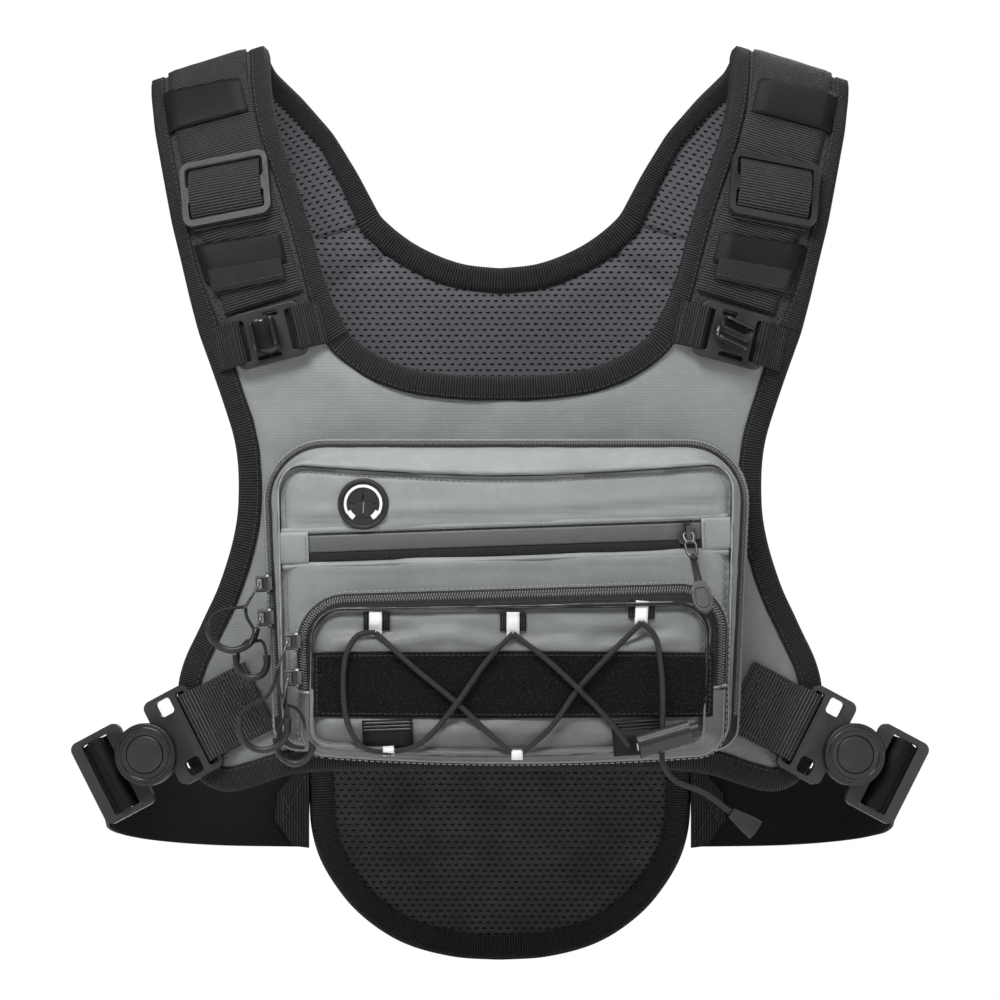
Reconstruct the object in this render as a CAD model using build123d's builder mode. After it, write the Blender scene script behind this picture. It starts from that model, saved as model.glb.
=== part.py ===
from build123d import *
import os
from collections import namedtuple
from math import sqrt, sin, cos, radians, atan2, degrees

# Chest-pack vest: a front panel with two stacked zip pockets, two padded
# shoulder straps running over the shoulders to a padded mesh back panel, and
# two elastic side belts that close on press-button buckles.
# X points to the viewer's right as seen from the front, Y to the back, Z up.
# The origin lies in the flat rear face of the back panel, near its centre.
# "Left" is the viewer's left, X < 0, which is the wearer's right.
# "Inner" edges of the straps face the neck. Sizes are in mm, angles in degrees.

os.makedirs("parts", exist_ok=True)

# ---- driving dimensions -------------------------------------------------------
FRONT_CY = 475.0          # Y of the axis all curved front layers share
FRONT_R = 600.0           # outer radius of the front panel
PANEL_T = 3.0             # coated outer fabric with its stiffener
LINING_T = 3.5            # spacer lining behind the panel
BIND_W = 11.5             # visible width of the edge binding
SEAM_GAP = 0.25           # clearance between neighbouring soft solids
POCKET_GAP = 0.6          # clearance behind a pocket
FACE_GAP = 0.3            # clearance under flat pieces on a pocket's face

SPLIT_Z = 140.0           # where the shoulder strap is sewn to the front panel
YOKE_Z = 200.0            # where the shoulder yoke is sewn to the back panel
APEX_Y = -45.0            # top of the shoulder, where the strap folds
APEX_GAP = 0.3            # gap on either side of the fold
STRAP_T = 8.0             # padded strap thickness
STRAP_EDGE = 5.5          # binding on the strap edges
SHOULDER_REF = 120.7      # |X| at which the side profile is given
SHOULDER_SLOPE = 0.31     # fall of the shoulder per mm outward
SHOULDER_SWEEP = 0.19     # rearward sweep of the strap front per mm outward

MAIN_R = 640.0            # outer radius of the main pocket's face
FRONT_FACE_R = 665.0      # outer radius of the front pocket's face

# ---- outlines, front view (X, Z) ----------------------------------------------
neck_half = [(0, 118.5), (25, 119.5), (45, 122.5), (60, 128.2), (69, 133.8), (76.5, 140)]
skirt_half = [
    (150.3, 140), (142.2, 117.5), (136.3, 100), (133, 89), (131, 76), (130.6, 62),
    (131.3, 49), (134, 35), (137.9, 22), (142, 10.8), (146.5, 1.5), (152.3, -11),
    (156.8, -20), (160.6, -32), (161.5, -44), (160.5, -60), (156, -75), (148, -84.5),
    (137, -88), (122, -84.5), (105, -79), (80, -77), (40, -77), (0, -77)]

strap_inner = [
    (76.5, 140), (79.5, 145), (86.5, 160), (91.2, 174), (95.3, 190), (100.9, 209),
    (106.5, 225), (111.8, 241), (115.5, 256), (117.3, 270), (118, 292)]
strap_outer = [
    (150.3, 140), (155.3, 158.6), (160.3, 179.7), (164.6, 197), (169, 220),
    (173.5, 244), (175.5, 262), (176, 292)]
yoke_inner = [(61, 200), (72, 221), (85, 242.5), (101, 261), (114, 274), (118, 282), (118.5, 292)]
yoke_outer = [(164.5, 200), (169, 220), (173.5, 244), (175.5, 262), (176, 292)]

back_neck_half = [(0, 173.5), (20, 176), (40, 184), (52, 192), (61, 200)]
back_side_half = [
    (164.5, 200), (156, 162), (142, 122), (127, 80), (115, 30), (105, -20),
    (98, -60), (95.5, -88), (94.5, -107), (90.5, -122), (83, -135.5), (71, -150),
    (50, -164.5), (24, -172), (0, -173.7)]

# ---- side profiles of the shoulder (Y, Z), outer surface -----------------------
front_profile = [
    (-113.5, 110), (-112.6, 128), (-111.8, 142), (-108.5, 165), (-99.5, 205),
    (-84, 243), (-66, 270), (-45, 284.5), (-30, 285.5)]
yoke_profile = [
    (-60, 279.5), (-45, 284.5), (-25, 280), (-9, 262), (-1.6, 235), (-0.3, 205), (-0.3, 150)]


# =============================================================================
# SAVING AND MIRRORING
# =============================================================================
def save(name, part):
    """Labels a part and writes its STEP file."""
    part.label = name
    export_step(part, f"parts/{name}.step")


def mirrored(part):
    """The part's mirror image on the other side of X = 0."""
    with BuildPart() as image:
        mirror(part, about=Plane.YZ)
    return image.part


def save_pair(name, left):
    """Saves a left part and its mirror image."""
    right = mirrored(left)
    save("left_" + name, left)
    save("right_" + name, right)


def join(paired, single=()):
    """One part from the single pieces, the paired pieces and the images of the paired ones."""
    with BuildPart() as joined:
        for part in (*single, *paired):
            add(part)
        for part in paired:
            mirror(part, about=Plane.YZ)
    return joined.part


# =============================================================================
# RUNS OF POINTS
# =============================================================================
def inset(points, shift):
    """Moves a run of points sideways, to the right of its direction."""
    out = []
    for i, (x, z) in enumerate(points):
        x0, z0 = points[max(i - 1, 0)]
        x1, z1 = points[min(i + 1, len(points) - 1)]
        length = sqrt((x1 - x0) ** 2 + (z1 - z0) ** 2)
        out.append((x + shift * (z1 - z0) / length, z - shift * (x1 - x0) / length))
    return out


def level(points, z):
    """Puts both ends of a run on the height z."""
    return [(points[0][0], z)] + points[1:-1] + [(points[-1][0], z)]


def flip(points):
    """Mirrors a run of points left to right and reverses it."""
    return [(-x, z) for x, z in reversed(points)]


def curve(run):
    """A line for two points, a smooth curve through more."""
    return Line(*run) if len(run) == 2 else Spline(*run)


def between(run, back_run):
    """A closed outline of two runs whose ends are joined by straight lines."""
    curve(run)
    Line(run[-1], back_run[0])
    curve(back_run)
    Line(back_run[-1], run[0])


def field(neck, side, top):
    """The two runs around a panel inside its binding, cut level at the top."""
    shift = BIND_W + SEAM_GAP
    return level(inset(neck, shift), top), level(inset(side, shift), top)


def rim(edge, top):
    """The two runs around a binding along an edge, cut level at the top."""
    return level(edge, top), level(inset(edge, BIND_W), top)[::-1]


front_neck = flip(neck_half) + neck_half[1:]
front_skirt = skirt_half + flip(skirt_half[:-1])
back_neck = flip(back_neck_half) + back_neck_half[1:]
back_side = back_side_half + flip(back_side_half[:-1])


# =============================================================================
# THE CURVED FRONT
# =============================================================================
def arc_band(inner_radius, outer_radius):
    """A curved strip of the front, in plan, between two radii."""
    with Locations((0, FRONT_CY)):
        Circle(outer_radius)
        Circle(inner_radius, mode=Mode.SUBTRACT)
    with Locations((0, FRONT_CY - outer_radius + 45)):
        Rectangle(380, 110, mode=Mode.INTERSECT)


def front_y(x, radius):
    """Y of the curved front at a given X and radius."""
    return FRONT_CY - sqrt(radius * radius - x * x)


def front_plane(x, z, radius, turn=0.0):
    """A plane lying on the curved front, its Z pointing out towards the viewer."""
    y = front_y(x, radius)
    normal = Vector(x, y - FRONT_CY, 0).normalized()
    across = Vector(-normal.Y, normal.X, 0).normalized()
    tilted = across * cos(radians(turn)) + Vector(0, 0, 1) * sin(radians(turn))
    return Plane(origin=(x, y, z), x_dir=tilted, z_dir=normal)


def patch_layer(inner_radius, outer_radius, bottom, height, cut_from, cut_depth, patches):
    """A curved layer trimmed to rectangles, given as (place, width, height) in front view."""
    with BuildPart() as layer:
        with BuildSketch(Plane.XY.offset(bottom)):
            arc_band(inner_radius, outer_radius)
        extrude(amount=height)
        with BuildSketch(Plane.XZ.offset(cut_from)):
            for place, patch_width, patch_height in patches:
                with Locations(place):
                    Rectangle(patch_width, patch_height)
        extrude(amount=cut_depth, mode=Mode.INTERSECT)
    return layer.part


# =============================================================================
# SHOULDERS
# =============================================================================
# Each layer is drawn in side view near the neck, pushed outward and down, then
# trimmed to its outline in front view from the plane cut_from over cut_depth.
ShoulderHalf = namedtuple("ShoulderHalf", "profile start push cut_from cut_depth")

START_X = 60.0            # |X| of the side view
PUSH_REACH = 125.0        # distance in X the side view is pushed
YOKE_CUT_Y = 5.0          # the yoke is trimmed from here forward to the apex
START_OFFSET = SHOULDER_REF - START_X
START_RISE = SHOULDER_SLOPE * START_OFFSET

front_half = ShoulderHalf(
    profile=front_profile,
    start=Plane(origin=(-START_X, -SHOULDER_SWEEP * START_OFFSET, START_RISE),
                x_dir=(0, 1, 0), z_dir=(1, 0, 0)),
    push=Vector(-1, SHOULDER_SWEEP, -SHOULDER_SLOPE),
    cut_from=-APEX_Y + APEX_GAP,
    cut_depth=100)
yoke_half = ShoulderHalf(
    profile=yoke_profile,
    start=Plane(origin=(-START_X, 0, START_RISE), x_dir=(0, 1, 0), z_dir=(1, 0, 0)),
    push=Vector(-1, 0, -SHOULDER_SLOPE),
    cut_from=-YOKE_CUT_Y,
    cut_depth=YOKE_CUT_Y - APEX_Y - APEX_GAP)


def shoulder_layer(half, low, high, *outlines):
    """A left shoulder layer between two heights over the outer surface."""
    with BuildPart() as layer:
        with BuildSketch(half.start):
            with BuildLine():
                between(inset(half.profile, -high), inset(half.profile, -low)[::-1])
            make_face()
        extrude(dir=half.push, amount=PUSH_REACH * half.push.length)
        with BuildSketch(Plane.XZ.offset(half.cut_from)):
            for outline in outlines:
                with BuildLine():
                    between(*outline)
                make_face()
        extrude(amount=half.cut_depth, mode=Mode.INTERSECT)
    return layer.part


def strip(inner, inner_shift, outer, outer_shift, lift):
    """Left outline between two edges, each moved outward, its lower ends lifted."""
    run = [(-x - inner_shift, z) for x, z in inner]
    back_run = [(-x - outer_shift, z) for x, z in reversed(outer)]
    run[0] = (run[0][0], run[0][1] + lift)
    back_run[-1] = (back_run[-1][0], back_run[-1][1] + lift)
    return run, back_run


def padded_strap(half, inner, outer, lift, edge_high):
    """Padded core of a left strap, then the bindings on its inner and outer edges."""
    core_shift = STRAP_EDGE + SEAM_GAP
    edge_low = -STRAP_T - 0.2
    core = shoulder_layer(half, -STRAP_T, 0, strip(inner, core_shift, outer, -core_shift, lift))
    inner_edge = shoulder_layer(half, edge_low, edge_high,
                                strip(inner, 0, inner, STRAP_EDGE, lift))
    outer_edge = shoulder_layer(half, edge_low, edge_high,
                                strip(outer, -STRAP_EDGE, outer, 0, lift))
    return core, inner_edge, outer_edge


def profile_at(z):
    """Y of the strap's outer surface at height z, at the reference distance from centre."""
    for (y0, z0), (y1, z1) in zip(front_profile, front_profile[1:]):
        if z0 <= z <= z1:
            return y0 + (y1 - y0) * (z - z0) / (z1 - z0)
    return front_profile[-1][0]


def strap_point(x, z):
    """A point on the left strap's outer surface."""
    outward = abs(x) - SHOULDER_REF
    return Vector(x, profile_at(z + SHOULDER_SLOPE * outward) + SHOULDER_SWEEP * outward, z)


def strap_plane(x, z, turn=0.0):
    """A plane on the left strap, X across it, Y up it, Z out, turned about Z."""
    up = (strap_point(x - 2.4, z + 10) - strap_point(x + 2.4, z - 10)).normalized()
    side = (strap_point(x + 12, z) - strap_point(x - 12, z)).normalized()
    normal = side.cross(up).normalized()
    across = up.cross(normal).normalized()
    tilted = across * cos(radians(turn)) + up * sin(radians(turn))
    return Plane(origin=strap_point(x, z), x_dir=tilted, z_dir=normal)


# =============================================================================
# BACK PANEL: shell, foam and mesh in a binding, with the shoulder yokes
# =============================================================================
SHELL_T, FOAM_T, MESH_T = 1.2, 5.4, 1.9
BACK_BINDING_T = 9.2


def back_layer(outline, behind, thickness):
    """A flat layer of the back panel, starting a distance in front of its rear face."""
    with BuildPart() as layer:
        with BuildSketch(Plane.XZ.offset(behind)):
            with BuildLine():
                between(*outline)
            make_face()
        extrude(amount=thickness)
    return layer.part


back_field = field(back_neck, back_side, YOKE_Z)
save("back_shell", back_layer(back_field, 0, SHELL_T))
save("back_foam", back_layer(back_field, SHELL_T + SEAM_GAP, FOAM_T))
save("back_mesh", back_layer(back_field, SHELL_T + FOAM_T + 2 * SEAM_GAP, MESH_T))

yoke_core, yoke_inner_edge, yoke_outer_edge = padded_strap(
    yoke_half, yoke_inner, yoke_outer, lift=SEAM_GAP, edge_high=0.0)
save_pair("yoke", yoke_core)

back_neck_binding = back_layer(rim(back_neck, YOKE_Z), 0, BACK_BINDING_T)
back_side_binding = back_layer(rim(back_side, YOKE_Z), 0, BACK_BINDING_T)
save("back_binding", join([yoke_inner_edge, yoke_outer_edge],
                          single=[back_neck_binding, back_side_binding]))

# =============================================================================
# FRONT PANEL: panel and lining in a binding, with the padded straps
# =============================================================================
PANEL_LOW = -95.0         # start of the curved bands, below the panel
PANEL_TOP = SPLIT_Z - SEAM_GAP


def panel_layer(inner_radius, outer_radius, outline):
    """A curved layer of the front panel trimmed to an outline in front view."""
    with BuildPart() as layer:
        with BuildSketch(Plane.XY.offset(PANEL_LOW)):
            arc_band(inner_radius, outer_radius)
        extrude(amount=SPLIT_Z - PANEL_LOW + 10)
        with BuildSketch(Plane.XZ.offset(80)):
            with BuildLine():
                between(*outline)
            make_face()
        extrude(amount=80, mode=Mode.INTERSECT)
    return layer.part


panel_field = field(front_neck, front_skirt, PANEL_TOP)
panel_rear_r = FRONT_R - PANEL_T
lining_face_r = panel_rear_r - SEAM_GAP
save("front_panel", panel_layer(panel_rear_r, FRONT_R, panel_field))
save("front_lining", panel_layer(lining_face_r - LINING_T, lining_face_r, panel_field))

strap_core, strap_inner_edge, strap_outer_edge = padded_strap(
    front_half, strap_inner, strap_outer, lift=0.0, edge_high=0.2)
save_pair("strap", strap_core)

binding_radii = (panel_rear_r - LINING_T - 0.8, FRONT_R + 0.4)
neck_binding = panel_layer(*binding_radii, rim(front_neck, PANEL_TOP))
skirt_binding = panel_layer(*binding_radii, rim(front_skirt, PANEL_TOP))
save("front_binding", join([strap_inner_edge, strap_outer_edge],
                           single=[neck_binding, skirt_binding]))

# ---- shoulder webbing and the keepers over it ----------------------------------
WEB_W, WEB_T = 39.0, 1.6
WEB_LIFT = 0.4            # gap under the webbing
KEEPER_GAP, KEEPER_T = 0.3, 1.0

# centre line of the left webbing (X, Z)
web_mid = [(-118, 158), (-124, 176), (-131, 200), (-137.5, 224), (-143, 246),
           (-146, 262), (-147, 292)]
web_outline = ([(x + WEB_W / 2, z) for x, z in web_mid],
               [(x - WEB_W / 2, z) for x, z in reversed(web_mid)])
save_pair("strap_webbing",
          shoulder_layer(front_half, WEB_LIFT, WEB_LIFT + WEB_T, web_outline))

# corners of the two left keepers (X, Z): upper edge, then lower edge
lower_keeper = ([(-110, 191), (-153, 184.5)], [(-147, 166), (-106.5, 176.5)])
upper_keeper = ([(-129.5, 268), (-169, 260)], [(-165.5, 241), (-125.5, 251.5)])
keeper_low = WEB_LIFT + WEB_T + KEEPER_GAP
save("strap_keepers", join([
    shoulder_layer(front_half, keeper_low, keeper_low + KEEPER_T, lower_keeper, upper_keeper)]))


# ---- ladder adjusters with the bight of webbing threaded through them ----------
def long_face_edges(builder):
    """The two longest straight edges of the builder's two largest faces."""
    faces = builder.faces().sort_by(SortBy.AREA)[-2:]
    return faces.edges().filter_by(GeomType.LINE).sort_by(SortBy.LENGTH)[-2:]


adjust_plane = strap_plane(-136.0, 211.5, turn=-8.0)
ADJ_W, ADJ_H, ADJ_T, ADJ_LIFT = 46.0, 35.0, 3.2, 3.6
ADJ_SLOT_W, ADJ_SLOT_H = ADJ_W - 6.4, 10.6
ADJ_SLOT_AT = 8.8         # slot centres above and below the middle bar
BIGHT_W, BIGHT_H = WEB_W - 1.4, 24.0
BIGHT_LEG_T = 1.4
BIGHT_LEG_AT = (BIGHT_H - BIGHT_LEG_T) / 2
BIGHT_GAP, BIGHT_SINK = 0.25, 0.2

with BuildPart() as left_adjuster:
    with BuildSketch(adjust_plane.offset(ADJ_LIFT)):
        RectangleRounded(ADJ_W, ADJ_H, 5.5)
        with Locations((0, ADJ_SLOT_AT), (0, -ADJ_SLOT_AT)):
            RectangleRounded(ADJ_SLOT_W, ADJ_SLOT_H, 2, mode=Mode.SUBTRACT)
    extrude(amount=ADJ_T)
    chamfer(long_face_edges(left_adjuster), 0.6)
save_pair("adjuster", left_adjuster.part)

with BuildPart() as left_bight:
    with BuildSketch(adjust_plane.offset(ADJ_LIFT + ADJ_T + BIGHT_GAP)):
        Rectangle(BIGHT_W, BIGHT_H)
    extrude(amount=WEB_T)
    # the two legs reaching down through the slots
    with BuildSketch(adjust_plane.offset(ADJ_LIFT - BIGHT_SINK)):
        with Locations((0, BIGHT_LEG_AT), (0, -BIGHT_LEG_AT)):
            Rectangle(BIGHT_W, BIGHT_LEG_T)
    extrude(amount=ADJ_T + BIGHT_SINK + BIGHT_GAP + WEB_T)
save_pair("bight", left_bight.part)

# ---- swivel tube clips at the lower strap ends ---------------------------------
HOSE_R = 5.0              # drinking tube the clips are sized for
CLIP_LEN, CLIP_WALL = 22.0, 1.8
CLIP_R = HOSE_R + CLIP_WALL
CLIP_MOUTH = 7.0
FOOT_W, FOOT_T, FOOT_HOLE_R = 11.0, 1.9, 2.7
CHANNEL_LIFT = 1.4        # underside of the channel above the foot's underside
CLIP_WEB_LIFT, CLIP_WEB_T = 1.6, 1.6
PLATE_LIFT, PLATE_T = 3.6, 2.6
PIVOT_R, PIVOT_H = 2.4, 1.5
HOOK_LIFT = 6.6           # underside of the clip's foot above the strap
LEFT_CLIP_TURN, RIGHT_CLIP_TURN = 0, -100

clip_plane = strap_plane(-115.0, 139.5)
with BuildPart() as left_clip_webbing:
    with BuildSketch(clip_plane.offset(CLIP_WEB_LIFT)):
        Rectangle(54, 23)
    extrude(amount=CLIP_WEB_T)
save("clip_webbings", join([left_clip_webbing.part]))

with BuildPart() as left_clip_plate:
    with BuildSketch(clip_plane.offset(PLATE_LIFT)):
        RectangleRounded(36, 28, 4)
        with Locations((-14, 0), (14, 0)):
            RectangleRounded(3.2, 20, 1.2, mode=Mode.SUBTRACT)
    extrude(amount=PLATE_T)
    chamfer(long_face_edges(left_clip_plate), 0.5)
    # pivot stub for the clip's foot
    with BuildSketch(clip_plane.offset(PLATE_LIFT + PLATE_T)):
        Circle(PIVOT_R)
    extrude(amount=PIVOT_H)
save("clip_plates", join([left_clip_plate.part]))


def make_hose_clip(base, turn):
    """A foot with a C-shaped channel on it, swivelled on its base plane."""
    # the foot's plane has Y along the channel
    foot = Plane(origin=base.offset(HOOK_LIFT).origin,
                 x_dir=base.x_dir * cos(radians(turn)) + base.y_dir * sin(radians(turn)),
                 z_dir=base.z_dir)
    # the plane of the channel's end looks along the channel, its -Y away from the foot
    channel_end = Plane(
        origin=foot.origin + foot.z_dir * (CHANNEL_LIFT + CLIP_R) - foot.y_dir * (CLIP_LEN / 2),
        x_dir=foot.x_dir, z_dir=foot.y_dir)
    with BuildPart() as clip:
        with BuildSketch(foot):
            RectangleRounded(FOOT_W, CLIP_LEN, 2.5)
            Circle(FOOT_HOLE_R, mode=Mode.SUBTRACT)
        extrude(amount=FOOT_T)
        with BuildSketch(channel_end):
            Circle(CLIP_R)
            Circle(HOSE_R, mode=Mode.SUBTRACT)
            with Locations((0, -HOSE_R - 1.0)):
                Rectangle(CLIP_MOUTH, 8.0, mode=Mode.SUBTRACT)
        extrude(amount=CLIP_LEN)
    return clip.part


right_clip_plane = Plane(
    origin=(-clip_plane.origin.X, clip_plane.origin.Y, clip_plane.origin.Z),
    x_dir=(clip_plane.x_dir.X, -clip_plane.x_dir.Y, -clip_plane.x_dir.Z),
    z_dir=(-clip_plane.z_dir.X, clip_plane.z_dir.Y, clip_plane.z_dir.Z))
save("left_hose_clip", make_hose_clip(clip_plane, LEFT_CLIP_TURN))
save("right_hose_clip", make_hose_clip(right_clip_plane, RIGHT_CLIP_TURN))

# =============================================================================
# SIDE CLOSURE: press-button buckles, wing webbing, elastic belts
# =============================================================================
# Buckle plane: X along the buckle towards the belt, Z out of the button side.
# Pieces are placed by their X along it and their height over it.
BUCKLE_AT = (-176.0, -100.0, -70.0)
BUCKLE_TURN, BUCKLE_TILT = 14.0, 27.5
BUCKLE_R = 15.75
BUTTON_R, BUTTON_H, BUTTON_TRAVEL = 9.4, 4.0, 2.0
BUTTON_BORE_R = BUTTON_R + 0.35
BODY_T = 4.0              # thickness of either buckle half
FEMALE_LOW, COLLAR_H = 1.2, 3.0
MALE_LOW = -3.0
MALE_SLOTS = (17.5, 26.5)  # X of the two belt slots
SPRING_R, SPRING_HOLE_R = 7.5, 6.3

turn, tilt = radians(BUCKLE_TURN), radians(BUCKLE_TILT)
buckle_out = Vector(-sin(turn), -cos(turn), 0)
buckle_along = Vector(-cos(turn) * cos(tilt), sin(turn) * cos(tilt), -sin(tilt))
buckle_plane = Plane(origin=BUCKLE_AT, x_dir=buckle_along, z_dir=buckle_out)

with BuildPart() as left_buckle_female:
    # disc and webbing plate, with the webbing slot and two corner windows
    with BuildSketch(buckle_plane.offset(FEMALE_LOW)):
        Circle(BUCKLE_R)
        with Locations((-21.5, 0)):
            RectangleRounded(25, 46, 4)
        with Locations((-29.5, 0)):
            RectangleRounded(5.2, 40, 1.2, mode=Mode.SUBTRACT)
        with Locations((-19.5, 16.5), (-19.5, -16.5)):
            RectangleRounded(8, 8.5, 2, mode=Mode.SUBTRACT)
    extrude(amount=BODY_T)
    # collar around the button
    with BuildSketch(buckle_plane.offset(FEMALE_LOW + BODY_T)):
        Circle(BUCKLE_R)
    extrude(amount=COLLAR_H)
    with BuildSketch(buckle_plane.offset(FEMALE_LOW)):
        Circle(BUTTON_BORE_R)
    extrude(amount=8, mode=Mode.SUBTRACT)
    # recess in the underside for the male half's ring
    with BuildSketch(buckle_plane.offset(FEMALE_LOW)):
        Circle(13.6)
    extrude(amount=1.6, mode=Mode.SUBTRACT)
    collar_edges = left_buckle_female.edges().filter_by(GeomType.CIRCLE).filter_by(
        lambda edge: abs(edge.radius - BUCKLE_R) < 0.01)
    fillet(collar_edges.sort_by(Axis.Y)[0:1], 0.8)
save_pair("buckle_female", left_buckle_female.part)

with BuildPart() as left_buckle_male:
    with BuildSketch(buckle_plane.offset(MALE_LOW)):
        Circle(BUCKLE_R - 1.2)
        with Locations((21.0, 0)):
            RectangleRounded(28, 45, 4)
        with Locations(*[(slot_x, 0) for slot_x in MALE_SLOTS]):
            RectangleRounded(5.4, 39, 1.2, mode=Mode.SUBTRACT)
    extrude(amount=BODY_T)
    # raised ring
    with BuildSketch(buckle_plane.offset(MALE_LOW + BODY_T)):
        Circle(12.2)
        Circle(11.0, mode=Mode.SUBTRACT)
    extrude(amount=1.2)
save_pair("buckle_male", left_buckle_male.part)

# spring under the button, as a plain ring
with BuildPart() as left_buckle_spring:
    with BuildSketch(buckle_plane.offset(1.3)):
        Circle(SPRING_R)
        Circle(SPRING_HOLE_R, mode=Mode.SUBTRACT)
    extrude(amount=1.6)
save("buckle_springs", join([left_buckle_spring.part]))

with BuildPart() as left_buckle_button:
    with BuildSketch(buckle_plane.offset(3.1 + BUTTON_TRAVEL)):
        Circle(BUTTON_R)
    extrude(amount=BUTTON_H)
    fillet(left_buckle_button.edges().filter_by(GeomType.CIRCLE).sort_by(Axis.Y)[0], 1.0)
save_pair("buckle_button", left_buckle_button.part)

# ---- wing webbing: a patch on the wing and a turn over the buckle's bar --------
WING_WEB_W = 36.0
TURN_X, TURN_LEN, TURN_T = -33.0, 9.6, 1.4
TURN_LEG_SHIFT = (TURN_LEN - TURN_T) / 2

wing_patch = patch_layer(
    FRONT_R + 0.7, FRONT_R + 2.2, bottom=-95, height=80, cut_from=80, cut_depth=60,
    patches=[(Location((-136.9, -49.0), 28.2), 16.2, WING_WEB_W)])

with BuildPart() as wing_turn:
    with BuildSketch(buckle_plane.offset(5.6)):
        with Locations((TURN_X, 0)):
            Rectangle(TURN_LEN, WING_WEB_W)
    extrude(amount=TURN_T)
    for side in (1, -1):
        with BuildSketch(buckle_plane.offset(1.4)):
            with Locations((TURN_X + side * TURN_LEG_SHIFT, 0)):
                Rectangle(TURN_T, WING_WEB_W)
        extrude(amount=5.6)
save("wing_webbings", join([wing_patch, wing_turn.part]))

# ---- elastic belts from the male half round to the back panel ------------------
BELT_W, BELT_T = 38.0, 1.8
BELT_END_X = -96.2


def belt_section(at, along, lean):
    """A cross-section plane of the belt: its X runs up the belt's width."""
    along = Vector(*along).normalized()
    up = Vector(0, 0, 1) - along * along.Z
    up = up.normalized()
    side = along.cross(up)
    width = up * cos(radians(lean)) + side * sin(radians(lean))
    return Plane(origin=at, x_dir=width, z_dir=along)


belt_start = buckle_plane.offset(-4.6).origin + buckle_along * MALE_SLOTS[-1]
# centre, direction, lean of the width
belt_stations = [
    (belt_start, (-0.05, 1.0, -0.12), -27.0),
    ((-202.5, -74, -85.5), (0.02, 1.0, -0.12), -22.0),
    ((-198, -48, -90), (0.42, 0.9, -0.1), -12.0),
    ((-178, -22, -94.5), (0.84, 0.52, -0.06), -5.0),
    ((-145, -8, -97.5), (0.98, 0.18, -0.02), 0.0),
    ((BELT_END_X, -4.6, -98.5), (1.0, 0.0, 0.0), 0.0),
]
with BuildPart() as left_belt:
    for station in belt_stations:
        with BuildSketch(belt_section(*station)):
            Rectangle(BELT_W, BELT_T)
    loft()
save_pair("belt", left_belt.part)

with BuildPart() as left_anchor:
    with BuildSketch(Plane.XZ.offset(8.2)):
        with BuildLine():
            Polyline((BELT_END_X, -79), (BELT_END_X, -118), (-104, -117), (-113.5, -104),
                     (-112.5, -90), (-104, -81), close=True)
        make_face()
    extrude(amount=1.6)
save("belt_anchors", join([left_anchor.part]))

# =============================================================================
# POCKETS AND THEIR ZIPS
# =============================================================================
# Outline in front view, then where it is projected from (cut_from) and the
# height range of the zip around it.
Pocket = namedtuple("Pocket", "mid_x top bottom half_top half_bottom top_round bottom_round "
                              "cut_from zip_low zip_height")
MAIN = Pocket(mid_x=3.0, top=84.0, bottom=-70.0, half_top=119.0, half_bottom=110.0,
              top_round=27.0, bottom_round=9.0, cut_from=80, zip_low=-52, zip_height=170)
FRONT = Pocket(mid_x=6.0, top=9.0, bottom=-76.0, half_top=104.0, half_bottom=102.0,
               top_round=20.0, bottom_round=7.0, cut_from=100, zip_low=-46, zip_height=80)
POCKET_LOW = -90          # start of the curved bands, below the pockets
POCKET_CUT = 120          # depth of the projected outlines
TAPE_IN, TAPE_OUT = 0.3, 1.5   # zip tape, distance out from the pocket's wall
COIL_IN, COIL_OUT = 1.7, 2.9   # zip coil, likewise


def pocket_outline(sketch, pocket, grow=0.0):
    """A pocket seen from the front: rounded above, nearly square below."""
    top_half, bottom_half = pocket.half_top + grow, pocket.half_bottom + grow
    top, bottom = pocket.top + grow, pocket.bottom - grow
    Polygon((pocket.mid_x - top_half, top), (pocket.mid_x + top_half, top),
            (pocket.mid_x + bottom_half, bottom), (pocket.mid_x - bottom_half, bottom),
            align=None)
    fillet(sketch.vertices().group_by(Axis.Y)[-1], pocket.top_round + grow)
    fillet(sketch.vertices().group_by(Axis.Y)[0], pocket.bottom_round + grow)


def pocket_body(pocket, inner_radius, outer_radius, height):
    """The solid body of a pocket."""
    with BuildPart() as body:
        with BuildSketch(Plane.XY.offset(POCKET_LOW)):
            arc_band(inner_radius, outer_radius)
        extrude(amount=height)
        with BuildSketch(Plane.XZ.offset(pocket.cut_from)) as outline:
            pocket_outline(outline, pocket)
        extrude(amount=POCKET_CUT, mode=Mode.INTERSECT)
    return body.part


def zip_layer(pocket, inner_radius, outer_radius, grow_in, grow_out):
    """A thin band around a pocket's walls, open at the bottom."""
    with BuildPart() as band:
        with BuildSketch(Plane.XY.offset(pocket.zip_low)):
            arc_band(inner_radius, outer_radius)
        extrude(amount=pocket.zip_height)
        with BuildSketch(Plane.XZ.offset(pocket.cut_from)) as outer_outline:
            pocket_outline(outer_outline, pocket, grow=grow_out)
        extrude(amount=POCKET_CUT, mode=Mode.INTERSECT)
        with BuildSketch(Plane.XZ.offset(pocket.cut_from)) as inner_outline:
            pocket_outline(inner_outline, pocket, grow=grow_in)
        extrude(amount=POCKET_CUT, mode=Mode.SUBTRACT)
    return band.part


save("main_pocket", pocket_body(MAIN, FRONT_R + POCKET_GAP, MAIN_R, height=190))
save("main_zip_tape", zip_layer(MAIN, 612.0, 630.0, TAPE_IN, TAPE_OUT))
save("main_zip_coil", zip_layer(MAIN, 618.5, 623.5, COIL_IN, COIL_OUT))
save("front_pocket", pocket_body(FRONT, MAIN_R + POCKET_GAP, FRONT_FACE_R, height=120))
save("front_zip_tape", zip_layer(FRONT, 645.0, 660.0, TAPE_IN, TAPE_OUT))
save("front_zip_coil", zip_layer(FRONT, 650.0, 655.0, COIL_IN, COIL_OUT))

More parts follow.
